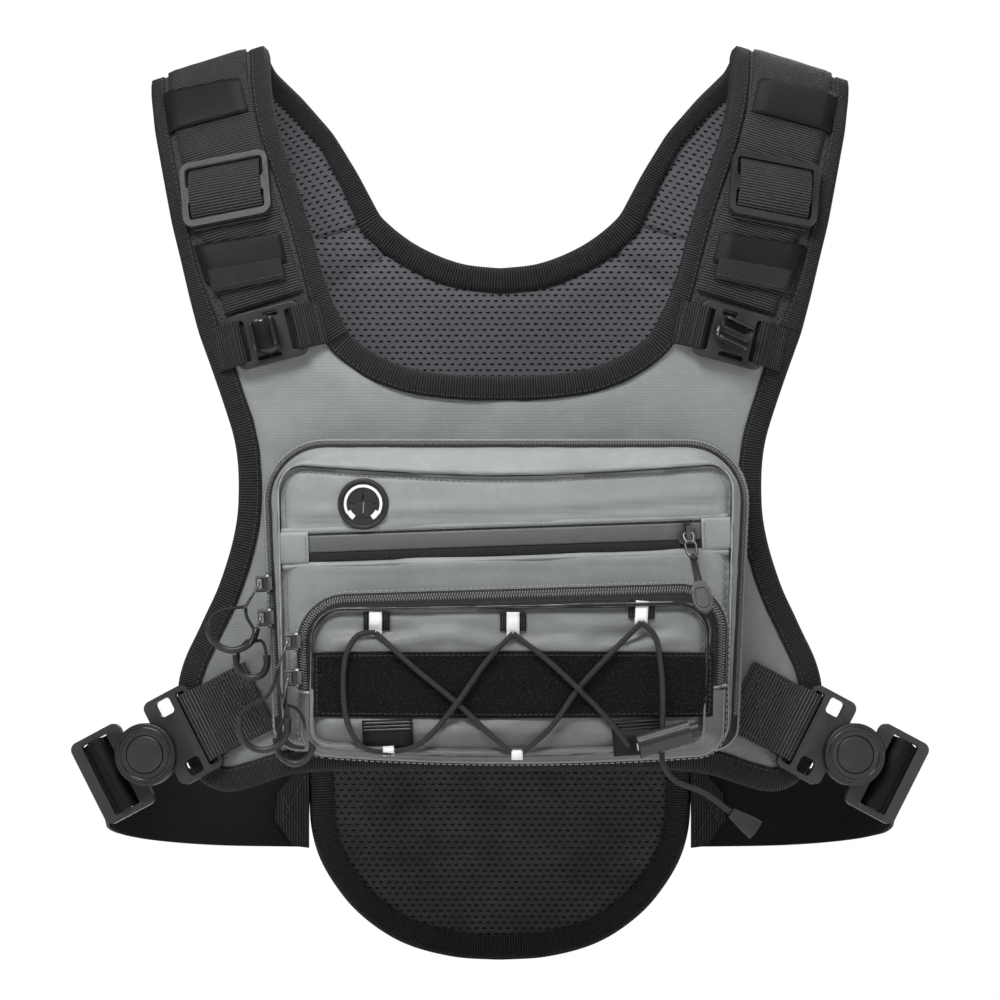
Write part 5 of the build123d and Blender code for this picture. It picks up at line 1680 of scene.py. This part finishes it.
# (along, height) in the buckle's frame
BAR_WRAP = ((-39.0, 4.6), (-36.5, 7.0), (-33.0, 7.9), (-29.6, 7.0), (-28.3, 3.8), (-29.6, 0.6),
            (-33.5, -0.2), (-38.0, 0.4))
MALE_WRAP = ((10.5, -5.2), (14.0, -4.9), (17.3, -2.6), (19.0, 1.4), (22.0, 3.0), (25.0, 1.4),
             (27.0, -2.8), (30.0, -5.4))
# the belt from the left buckle round to the back: point, direction, lean in degrees
BELT_STATIONS = (
    ((-202.5, -74, -85.5), (0.02, 1.0, -0.12), -22.0), ((-198, -48, -90), (0.42, 0.9, -0.1), -12.0),
    ((-178, -22, -94.5), (0.84, 0.52, -0.06), -5.0), ((-145, -8, -97.5), (0.98, 0.18, -0.02), 0.0),
    ((-96.2, -4.6, -98.5), (1.0, 0.0, 0.0), 0.0))
# the box, its cross and a second line at the outer end
BOX = [(-63.5, -15.5), (-45.5, -15.5), (-45.5, 15.5), (-63.5, 15.5), (-63.5, -15.5)]
BOX_LINES = list(zip(BOX, BOX[1:])) + [(BOX[0], BOX[2]), (BOX[3], BOX[1]),
                                       ((-62.0, -13.8), (-62.0, 13.8))]
ANCHOR = [(4.8, -19.5), (4.8, 19.5), (-3, 17.5), (-11.5, 8), (-12.5, -5.5), (-3, -18.5)]
ANCHOR_LINES = (((2.8, -17), (2.8, 17)), ((-8.5, -6), (-8.5, 7)), ((2.8, -17), (-8.5, 7)),
                ((2.8, 17), (-8.5, -6)))


def wing_web_path():
    """Path, across and up of the left wing's webbing: sewn patch, then round the bar."""
    points = [wing_point(x, 0, 1.1) for x in (-66, -60, -54, -48, -43)]
    path = catmull(points + [buckle.at(x, 0, h) for x, h in BAR_WRAP], 120)
    # the across direction follows the wing at the sewn end
    sewn = unit(wing_point(-60, 17) - wing_point(-60, -17))
    k = smooth01(np.linspace(0, 1, 120) / 0.5)[:, None]
    across = unit(sewn * (1 - k) + buckle.y * k)
    return path, across, unit(np.cross(across, tangents(path)))


def belt_path():
    """Path, across and up of the left belt: woven over the male half's bar, then to the back."""
    points = [buckle.at(x, 0, h) for x, h in MALE_WRAP]
    widths = [-buckle.y] * len(points)
    for point, direction, lean in BELT_STATIONS:
        direction = unit(direction)
        up = unit(np.array((0, 0, 1.0)) - direction * direction[2])
        lean = math.radians(lean)
        points.append(np.array(point))
        widths.append(up * math.cos(lean) + np.cross(direction, up) * math.sin(lean))
    rows = catmull(np.hstack([np.array(points), np.array(widths)]), 170)
    path, across = rows[:, :3], unit(rows[:, 3:6])
    # the rows are even in points and widths together; make them even in length
    along = arclen(path)
    want = np.linspace(0, along[-1], 170)
    path, across = at_length(want, along, path), unit(at_length(want, along, across))
    tangent = tangents(path)
    across = unit(across - tangent * (across * tangent).sum(1)[:, None])
    return want, path, across, unit(np.cross(across, tangent))


web_path, web_across, web_up = wing_web_path()
belt_along, belt_line, belt_across, belt_up = belt_path()
for side, label in SIDES:
    wing = sweep(f"{label}_wing_webbing", mirror_x(web_path, side), mirror_x(web_across, side),
                 mirror_x(web_up, side), rounded(36.5, 1.6, 0.7, 3), "webv")
    fit(wing, "front", "black_webbing", ["wing_webbings"] if side < 0 else ())
    for k, (start, end) in enumerate(BOX_LINES):
        line = [wing_point(x, y, 2.1) for x, y in np.linspace(start, end, 16)]
        stitch(f"{label}_box_stitch_{k}", mirror_x(line, side), mirror_x(buckle_out, side),
               "thread_olive", 2.5, 1.9, 0.3)
    sag = np.array([0.7 * ripple(a, 0, 24, 9.0 + side, 2) for a in belt_along])[:, None]
    belt = sweep(f"{label}_elastic_belt", mirror_x(belt_line + belt_up * sag, side),
                 mirror_x(belt_across, side), mirror_x(belt_up, side),
                 rounded(38, 1.8, 0.8, 4), "elastic")
    fit(belt, "back", "black_elastic", [f"{label}_belt"])
    # sewn end on the back panel
    here = Frame((-101, -9.6, -98.5), (1, 0, 0), (0, -1, 0)).mirrored(side)
    fit(slab(f"{label}_belt_anchor", here, ANCHOR, -1.2, 0.6, "webf", 0.3),
        "back", "black_webbing", ["belt_anchors"] if side < 0 else ())
    for k, (start, end) in enumerate(ANCHOR_LINES):
        line = [here.at(x, y, 0.7) for x, y in np.linspace(start, end, 12)]
        stitch(f"{label}_anchor_stitch_{k}", line, here.z, "thread_dark", 2.4, 1.8, 0.26,
               body="back")
    # raised ring on the buckle
    here = buckle.mirrored(side)
    ring = np.array([here.at(x, y, 8.25) for x, y in circle(13.0, 72)])
    fit(rod(f"{label}_buckle_bead", ring, here.z, circle(0.9, 10, 0.55), "gloss", closed=True),
        "front", "black_plastic")


# =============================================================================
# front pocket dressing: loop field, tabs and cord
# =============================================================================
LOOP_OUTLINE = [(-93, -50.5), (-93.5, -18.5), (6, -18.0), (107, -18.5), (106.0, -50.5), (6, -51.2)]
LOOP_SEAM = [(-91, -48.8), (-91.5, -20.2), (6, -19.7), (105, -20.2), (104.2, -48.8), (6, -49.4)]


def field_height(x, z, d=0.0):
    """Height of the loop field; the same at any edge distance d."""
    return 0.35 * ripple(x, z, 2.2, 1.0, 3) + 0.9 * face_lift(x, z)


def loop_fibres():
    """Short arched fibres scattered over the loop field."""
    rng = np.random.default_rng(7)
    surf = front_surf(LOOP_R)
    half_width = 0.07
    verts, faces = [], []
    for _ in range(3800):
        x, z = rng.uniform(-92, 106), rng.uniform(-50, -19)
        ground = field_height(x, z)
        a = rng.uniform(0, 2 * math.pi)
        length = rng.uniform(0.5, 1.1)
        run_x, run_z = math.cos(a) * length, math.sin(a) * length
        top = rng.uniform(0.35, 0.95)
        side_x, side_z = -math.sin(a) * half_width, math.cos(a) * half_width
        faces += quads(5, 2, len(verts), wrap_around=False)
        for f, h in ((0, -0.2), (0.25, top * 0.8), (0.5, top), (0.75, top * 0.8), (1.0, -0.2)):
            for k in (-1, 1):
                verts.append(surf(x + run_x * f + side_x * k, z + run_z * f + side_z * k,
                                  ground + h + 0.05 * k))
    fibres = build("loop_pile_fibres", verts, faces, None, "fibre")
    solidify(fibres, 0.09)
    fit(fibres, "front", "loop_pile")


fit(plate("loop_panel", resample(LOOP_OUTLINE, 200, True), front_surf(LOOP_R), 1.4, ["loop"],
          step=2.6, height=field_height),
    "front", "loop_pile", ["loop_field"])
loop_fibres()
seam = resample(LOOP_SEAM, 300, True)
path = [front_surf(LOOP_R)(x, z, field_height(x, z) + 0.25) for x, z in seam]
stitch("loop_panel_stitch", path, on_front(seam, LOOP_R)[1], "thread_dark", 2.6, 1.9, 0.25,
       closed=True)


def turned_point(x, z, a, b, degrees):
    """Point a along and b up a tab that is turned about its middle (x, z)."""
    cos, sin = math.cos(math.radians(degrees)), math.sin(math.radians(degrees))
    return x + a * cos - b * sin, z + a * sin + b * cos


def face_tab(name, x, z, width, height, degrees, lift, thick, mat, curl, slot, replaces=()):
    """A short folded ribbon standing on the front pocket."""
    across, rows = 5, 12
    verts, uv = [], []
    for depth in (0, thick):
        for j in range(rows):
            for i in range(across):
                a, b = (i / (across - 1) - 0.5) * width, (j / (rows - 1) - 0.5) * height
                tab_x, tab_z = turned_point(x, z, a, b, degrees)
                h = lift + curl * math.sin(math.pi * j / (rows - 1)) - depth
                verts.append(front_surf(FRONT_R)(tab_x, tab_z, h + face_lift(tab_x, tab_z)))
                uv.append((a, b))
    piece = build(name, verts, sheet_faces(across, rows), uv, mat)
    fit(piece, "front", slot, replaces)


# x, z, width, height, turn in degrees, lift, curl
for k, (x, z, width, height, degrees, lift, curl) in enumerate((
        (-62.0, -4.0, 6.4, 12.6, 0, 1.6, 1.6), (6.5, -4.6, 6.4, 12.6, 0, 1.6, 1.6),
        (70.5, 1.0, 6.4, 12.6, -4, 1.6, 1.6), (-55.5, -67.4, 5.6, 4.8, 4, 4.2, 1.9),
        (8.5, -69.4, 5.6, 5.0, 0, 4.2, 1.9), (71.0, -64.4, 5.6, 5.0, 8, 4.2, 1.9))):
    face_tab(f"pale_tab_{k}", x, z, width, height, degrees, lift, 0.9, "tab", curl, "pale_tab",
             ["cord_tabs"] if k == 0 else ())
for k, (x, z, degrees) in enumerate(((-61.5, -3.0, 0), (6.5, -3.2, 0), (70.5, 3.0, -3))):
    face_tab(f"tab_base_{k}", x, z, 13, 9.0, degrees, 0.9, 0.8, "webf", 0.4, "black_webbing")
# x, z, width, height, turn in degrees, then the ridges' lift and radius
for k, (x, z, width, height, degrees, lift, radius) in enumerate((
        (-56.0, -59.0, 25, 14, 2, 2.3, 0.7), (68.0, -60.5, 24, 18, 4, 1.9, 0.5))):
    face_tab(f"lower_tab_{k}", x, z, width, height, degrees, 1.4, 1.2, "keeper", 0.7,
             "black_webbing", ["lower_tabs"] if k == 0 else ())
    for j in range(3):
        up = height / 2 - 1.4 - j * 1.7
        line = [turned_point(x, z, a, up, degrees)
                for a in np.linspace(-width / 2 + 0.4, width / 2 - 0.4, 12)]
        ridge = tube(f"lower_tab_ridge_{k}_{j}",
                     [front_surf(FRONT_R)(px, pz, lift + face_lift(px, pz)) for px, pz in line],
                     radius, "gloss", hint=(0, -1, 0.05), seg=8)
        fit(ridge, "front", "black_webbing")

CORD_R = 668.8               # radius at which the cord lies on the pocket
LOCK_R = 673.9               # radius of the cord at its lock
# (x, z) or (x, z, radius) of each length of cord
CORD_RUNS = [
    [(-62.0, -8.5), (-70, -9.5), (-76, -18), (-78, -37), (-75, -56), (-67.5, -66.0),
     (-55.5, -68.5)],
    [(-55.5, -68.5), (-40, -64), (-22.5, -45), (-6, -22), (6.5, -9.0)],
    [(-62.0, -8.5), (-44, -25), (-21.0, -44.0), (-4, -60), (8.5, -70.5)],
    [(8.5, -70.5), (25, -56), (39.0, -36.5), (55, -19), (70.5, -3.5)],
    [(6.5, -9.0), (22, -21), (39.0, -36.5), (53, -51), (64.5, -65.5)],
    [(70.5, -3.5), (77, -10), (80, -24, CORD_R + 1.8), (81, -38, LOCK_R), (81, -60, LOCK_R),
     (81.2, -74, LOCK_R), (87, -82, LOCK_R), (101, -88, LOCK_R), (115, -98, LOCK_R)]]
CROSSINGS = ((-21.5, -44.5), (39.0, -36.5))
UPPER_RUNS = (1, 4)          # these ride over the others where they cross
cords = []
for k, run in enumerate(CORD_RUNS):
    points = []
    for x, z, *given in run:
        resting = CORD_R + 0.5 + 0.8 * max(0.0, face_lift(x, z) - 1.0)
        points.append((x, front_y(x, given[0] if given else resting), z))
    path = catmull(points, 90)
    over = 2.2 if k in UPPER_RUNS else 0.0
    for x, z in CROSSINGS:
        dist = np.hypot(path[:, 0] - x, path[:, 2] - z)
        path[:, 1] -= over * np.exp(-(dist / 5.0) ** 2)
    cords.append(rod(f"cord_run_{k}", path, (0.05, -1, 0.1), circle(1.4, 12), "cord"))
fit(join("laced_cord", cords), "front", "black_cord", ["shock_cord"])

# =============================================================================
# headphone port
# =============================================================================
PORT_X, PORT_Z = -68, 55.5
PRINT_H = 2.75               # height of the printed mark
port_y = front_y(PORT_X, MAIN_R)
port = Frame((PORT_X, port_y, PORT_Z), (1, 0, 0), (PORT_X, port_y - AXIS_Y, 0))


def port_points(radius, angles, h):
    return np.array([port.at(math.cos(a) * radius, math.sin(a) * radius, h) for a in angles])


rim = port_points(11.7, np.linspace(0, 2 * math.pi, 80, endpoint=False), 2.3)
fit(rod("port_rim", rim, port.z, circle(1.15, 12), "rubber2", closed=True),
    "front", "rubber_port")
# printed headphones: the bow and its two pads
bow_angles = np.radians(np.linspace(-32, 212, 60))
mark = [rod("port_arc_bow", port_points(9.0, bow_angles, PRINT_H), port.z,
            circle(0.72, 10, 0.45), "white_print")]
for k, a in enumerate((bow_angles[0] - 0.16, bow_angles[-1] + 0.16)):
    mark.append(rod(f"port_pad_{k}", port_points(8.1, a + np.linspace(-0.27, 0.27, 10), PRINT_H),
                    port.z, circle(1.35, 12, 0.5), "white_print"))
fit(join("port_ring_mark", mark), "front", "rubber_port")
# the four quarters of the slit disc
for k in range(4):
    start, end = 90 * k + 5, 90 * k + 85
    mid = math.radians((start + end) / 2)
    leaf = [(math.cos(a) * 6.9, math.sin(a) * 6.9) for a in np.radians(np.linspace(start, end, 10))]
    leaf.append((math.cos(mid) * 0.75, math.sin(mid) * 0.75))
    fit(slab(f"port_leaf_{k}", port, leaf, 2.4, 3.0, "rubber2", 0.18), "front", "rubber_port")

# =============================================================================
# zip pulls
# =============================================================================
PIN_LIFT = 5.6               # the slider's pin above its base
# the pockets' left walls: middle x, top, bottom, half width at top and at bottom
MAIN_BOX = (3.0, 84.0, -70.0, 119.0, 110.0)
FRONT_BOX = (6.0, 9.0, -76.0, 104.0, 102.0)


def wall_frame(box, radius, z):
    """Frame on a pocket's left wall: x up the wall, z outward."""
    mid_x, top, bottom, half_top, half_bottom = box
    run = unit(np.array((half_bottom - half_top, 0, top - bottom), float))
    out = np.array((-run[2], 0, run[0]))
    x = mid_x - half_bottom - (half_top - half_bottom) * (z - bottom) / (top - bottom)
    return Frame(np.array((x, front_y(x, radius), z)) + out * 2.9, run, out)


def fork(name, prefix, place, body, waist, bulge, link_radius):
    """Wire loop on the slider's pin and the metal link that hangs from it."""
    wire = [(5.6, 1.5), (3.0, waist), (0.4, 2.5), (-0.3, 1.2),
            (-0.3, -1.2), (0.4, -2.5), (3.0, -waist), (5.6, -1.5)]
    link = [(5.0, 0), (6.2, 2.3), (9.6, bulge), (13.4, 1.9),
            (14.4, 0), (13.4, -1.9), (9.6, -bulge), (6.2, -2.3)]
    wire_piece = tube(prefix + "_wire", [place.at(x, y) for x, y in wire], 0.62, "steel2",
                      hint=place.z, seg=8)
    link_piece = rod(prefix + "_link", catmull([place.at(x, y) for x, y in link], 60, True),
                     place.z, circle(link_radius, 8), "metal", closed=True)
    fit(join(name, [wire_piece, link_piece]), body, "dark_metal")


def pull(prefix, node, body, base, lean, cord_paths, grip):
    """Fork, doubled cord and a bent tube grip, hanging from a slider.

    Path points are (x, y from the base, z)."""
    grip_radius = 1.7
    lean = math.radians(lean)
    along = unit(base.x * -math.cos(lean) + base.z * math.sin(lean))
    place = Frame(base.origin + base.z * PIN_LIFT, along, np.cross(along, (0, 1.0, 0)))
    fork(prefix + "_fork", prefix, place, body, waist=2.35, bulge=2.7, link_radius=0.7)
    shift = np.array((0, base.origin[1], 0))
    grip = np.array(grip) + shift
    fit(tube(prefix + "_grip", grip, grip_radius, "rubber", hint=(0, -1, 0.02), seg=14),
        body, "rubber_port", [node])
    hint = (0, -1, 0.03)
    pieces = []
    for k, (y, path) in enumerate(zip((-0.5, 0.5), cord_paths)):
        pieces.append(tube(f"{prefix}_cord_{k}", [place.at(13.2, y), *(np.array(path) + shift)],
                           0.85, "cord", hint=hint, seg=9))
    # dark sleeve ends where the cord enters the tube
    for k, (end, beside) in enumerate(((grip[0], grip[1]), (grip[-1], grip[-2]))):
        out = unit(end - beside)
        pieces.append(tube(f"{prefix}_ferrule_{k}", [end - out * 1.8, end + out * 0.5],
                           grip_radius + 0.22, "rubber2", hint=hint, seg=12))
    fit(join(prefix + "_cord", pieces), body, "black_cord")


pull("main_pull_one", "main_pull_a", "main_tag_a", wall_frame(MAIN_BOX, 621.0, 16.0), 34.0,
     [[(-133, 0.5, 3.5), (-140, 1, 2.0), (-144.6, 1, -1.5), (-145.2, 1, -5)],
      [(-126.5, -1, -1.0), (-123.0, -1, -7.0), (-121.9, -1, -10.5)]],
     [(-145.3, 1, -4.0), (-145.4, 1, -9.0), (-142.0, 0.6, -14.4), (-134.8, 0, -17.6),
      (-127.2, -0.6, -15.8), (-122.8, -1, -11.2), (-121.8, -1, -6.8)])
pull("main_pull_two", "main_pull_b", "main_tag_b", wall_frame(MAIN_BOX, 621.0, -1.0), 26.0,
     [[(-126.5, 3, -13), (-130.5, 4, -18), (-131.6, 4, -23)],
      [(-119.0, 2, -13), (-117.0, 2, -18), (-116.6, 2, -23.5)]],
     [(-131.8, 4, -20.5), (-131.6, 4, -25.5), (-128.6, 3.5, -29.8), (-123.6, 3, -31.4),
      (-118.8, 2.5, -29.6), (-116.5, 2, -25.0), (-116.6, 2, -20.5)])
pull("front_pull_one", "front_pull_a", "front_tag_a", wall_frame(FRONT_BOX, 652.5, -13.0), 22.0,
     [[(-113.4, 0, -36.0), (-117.5, 0, -41.5), (-124.5, 0, -44.8), (-129.2, 0, -49.5),
       (-129.8, 0, -54)],
      [(-110.0, -1, -38), (-106.4, -1, -44), (-105.6, -1, -53)]],
     [(-130.2, 0, -51.5), (-130.0, 0, -57.5), (-126.6, 0, -63.8), (-119.0, -0.4, -67.4),
      (-111.2, -0.8, -65.2), (-106.6, -1, -59.6), (-105.8, -1, -52.0)])
pull("front_pull_two", "front_pull_b", "front_tag_b", wall_frame(FRONT_BOX, 652.5, -31.0), 14.0,
     [[(-106.5, 3.4, -49), (-110.2, 4.0, -57), (-111.0, 4.2, -63)],
      [(-101.0, 2.6, -47), (-97.0, 2.0, -55), (-94.2, 2.0, -64)]],
     [(-111.4, 4.2, -61.5), (-111.2, 4.2, -66.4), (-107.8, 3.8, -71.6), (-102.2, 3.2, -74.0),
      (-96.8, 2.6, -71.8), (-94.0, 2.0, -67.6), (-93.4, 2.0, -62.8)])

# welt pull: fork, doubled cord, flat leaf grip
WELT_PULL_X, WELT_PULL_R = 93.0, 641.7
LEAF_HALF = [(31.5, -2.6), (34.5, -3.9), (39, -5.0), (44, -4.9), (48.5, -3.2)]
RIDGE_HALF = [(35.5, -2.4), (40, -3.4), (45.5, -2.8)]


def both_halves(half, tip):
    return half + [(tip, 0)] + [(x, -y) for x, y in half[::-1]]


pull_y = front_y(WELT_PULL_X, WELT_PULL_R)
pull_z = (WELT_LEFT[1] + (WELT_PULL_X - WELT_LEFT[0]) * (WELT_RIGHT[1] - WELT_LEFT[1])
          / (WELT_RIGHT[0] - WELT_LEFT[0]))
pull_out = unit(np.array((WELT_PULL_X, pull_y - AXIS_Y, 0)))
lean = math.radians(38)
pull_along = unit(np.array((0.10, 0, -1)) * math.cos(lean) + pull_out * math.sin(lean))
pull_side = unit(np.cross(pull_along, pull_out))
here = Frame(np.array((WELT_PULL_X, pull_y, pull_z)) + pull_out * PIN_LIFT, pull_along,
             np.cross(pull_side, pull_along))
fork("welt_pull_fork", "welt", here, "welt_tag", waist=2.3, bulge=2.6, link_radius=0.75)
pieces = [tube(f"welt_cord_{k}", [here.at(x, y * k) for x, y in
                                  ((13.2, 0.5), (20, 0.9), (27, 1.0), (33, 1.4))],
               0.9, "cord", hint=here.z, seg=9) for k in (-1, 1)]
knot = [here.at(15.6, -1.5, 0.4), here.at(16.6, 0, 1.2), here.at(16.2, 1.6, 0.4)]
pieces.append(tube("welt_knot", knot, 1.0, "cord", hint=here.z, seg=9))
fit(join("welt_pull_cord", pieces), "welt_tag", "black_cord")
leaf = slab("welt_pull_leaf", here, catmull(both_halves(LEAF_HALF, 50.4), 44, True), -1.1, 1.1,
            "rubber3", 0.7)
ridge = np.array([here.at(x, y, 1.15) for x, y in catmull(both_halves(RIDGE_HALF, 47.6), 50, True)])
ridge = rod("welt_leaf_ridge", ridge, here.z, circle(0.5, 8), "rubber3", closed=True)
fit(join("welt_pull_grip", [leaf, ridge]), "welt_tag", "rubber_port", ["welt_pull"])


# =============================================================================
# finishes on the CAD hardware that stays in view
# =============================================================================
def dress(names, key):
    for name in names:
        node = nodes[name]
        if len(node.material_slots) == 0:
            node.data.materials.append(MATS[key])
        else:
            for slot in node.material_slots:
                slot.material = MATS[key]


def named(*parts):
    return [name for name in nodes if any(part in name for part in parts)]


dress(named("buckle_male", "buckle_female", "adjuster"), "plastic")
dress(named("buckle_button"), "plastic2")
dress(named("slider"), "metal")
dress(named("spring"), "steel")
dress(["headphone_port", "cord_end"], "rubber2")
dress(["cord_lock_barrel"], "gloss")
dress(["cord_lock_plunger"], "plastic")

# =============================================================================
# camera, floor and light (metres)
# =============================================================================
CAMERA_DIST = 14.0           # far off, for a flat view
VIEW_WIDTH = 0.500           # width seen at the vest
SENSOR = 36                  # sensor width in mm

scene = bpy.context.scene
cam_data = bpy.data.cameras.new("camera")
cam = bpy.data.objects.new("camera", cam_data)
scene.collection.objects.link(cam)
cam.location = (0.0, -0.13 - CAMERA_DIST, 0.0575)
cam.rotation_euler = (math.radians(90), 0, 0)
cam_data.sensor_width = SENSOR
cam_data.lens = SENSOR * CAMERA_DIST / VIEW_WIDTH
cam_data.clip_end = 100
scene.camera = cam


def pale_floor():
    """A wide floor that looks pure white to the camera and lights the vest softly."""
    half, z = 60, -0.185
    me = bpy.data.meshes.new("floor")
    me.from_pydata([(-half, -half, z), (half, -half, z), (half, half, z), (-half, half, z)],
                   [], [(0, 1, 2, 3)])
    for p in me.polygons:
        p.use_smooth = True
    floor = bpy.data.objects.new("floor", me)
    scene.collection.objects.link(floor)
    m = Mat("floor_white")
    m.set(color=(0.93, 0.93, 0.93), rough=0.9)
    m.shader.inputs["Emission Color"].default_value = (1, 1, 1, 1)
    m.shader.inputs["Emission Strength"].default_value = 0.12
    glow = m.node("ShaderNodeEmission")
    ray = m.node("ShaderNodeLightPath")
    both = m.node("ShaderNodeMixShader")
    m.link(ray.outputs["Is Camera Ray"], both.inputs[0])
    m.link(m.shader.outputs[0], both.inputs[1])
    m.link(glow.outputs[0], both.inputs[2])
    m.link(both.outputs[0], m.tree.nodes["Material Output"].inputs["Surface"])
    me.materials.append(m.material)


def area(name, loc, target, size, power):
    """Rectangular lamp aimed at a target."""
    lamp = bpy.data.lights.new(name, "AREA")
    lamp.shape = "RECTANGLE"
    lamp.size, lamp.size_y = size
    lamp.energy = power
    lamp.color = (1, 1, 1)
    holder = bpy.data.objects.new(name, lamp)
    holder.location = loc
    aim = Vector(target) - Vector(loc)
    holder.rotation_euler = aim.to_track_quat("-Z", "Y").to_euler()
    scene.collection.objects.link(holder)


def studio_world():
    """White to the camera, a dim white glow to everything else."""
    world = bpy.data.worlds.new("studio")
    scene.world = world
    world.use_nodes = True
    tree = world.node_tree
    glow = tree.nodes["Background"]
    glow.inputs[0].default_value = (1, 1, 1, 1)
    glow.inputs[1].default_value = 0.11
    ray = tree.nodes.new("ShaderNodeLightPath")
    white = tree.nodes.new("ShaderNodeBackground")
    white.inputs[0].default_value = (1, 1, 1, 1)
    white.inputs[1].default_value = 1.0
    pick = tree.nodes.new("ShaderNodeMixShader")
    tree.links.new(ray.outputs["Is Camera Ray"], pick.inputs[0])
    tree.links.new(glow.outputs[0], pick.inputs[1])
    tree.links.new(white.outputs[0], pick.inputs[2])
    tree.links.new(pick.outputs[0], tree.nodes["World Output"].inputs["Surface"])


pale_floor()
area("key", loc=(-0.55, -1.45, 1.65), target=(0, -0.1, 0.05), size=(0.9, 0.7), power=66)
area("fill", loc=(1.3, -1.6, 0.35), target=(0, -0.1, 0.05), size=(1.0, 1.2), power=8)
area("top", loc=(0.1, -0.1, 1.7), target=(0, -0.1, 0.1), size=(1.2, 0.8), power=20)
area("rear", loc=(0.6, 1.6, 1.1), target=(0, 0, 0.05), size=(1.2, 1.0), power=14)
studio_world()
scene.view_settings.view_transform = "Standard"
scene.view_settings.look = "None"
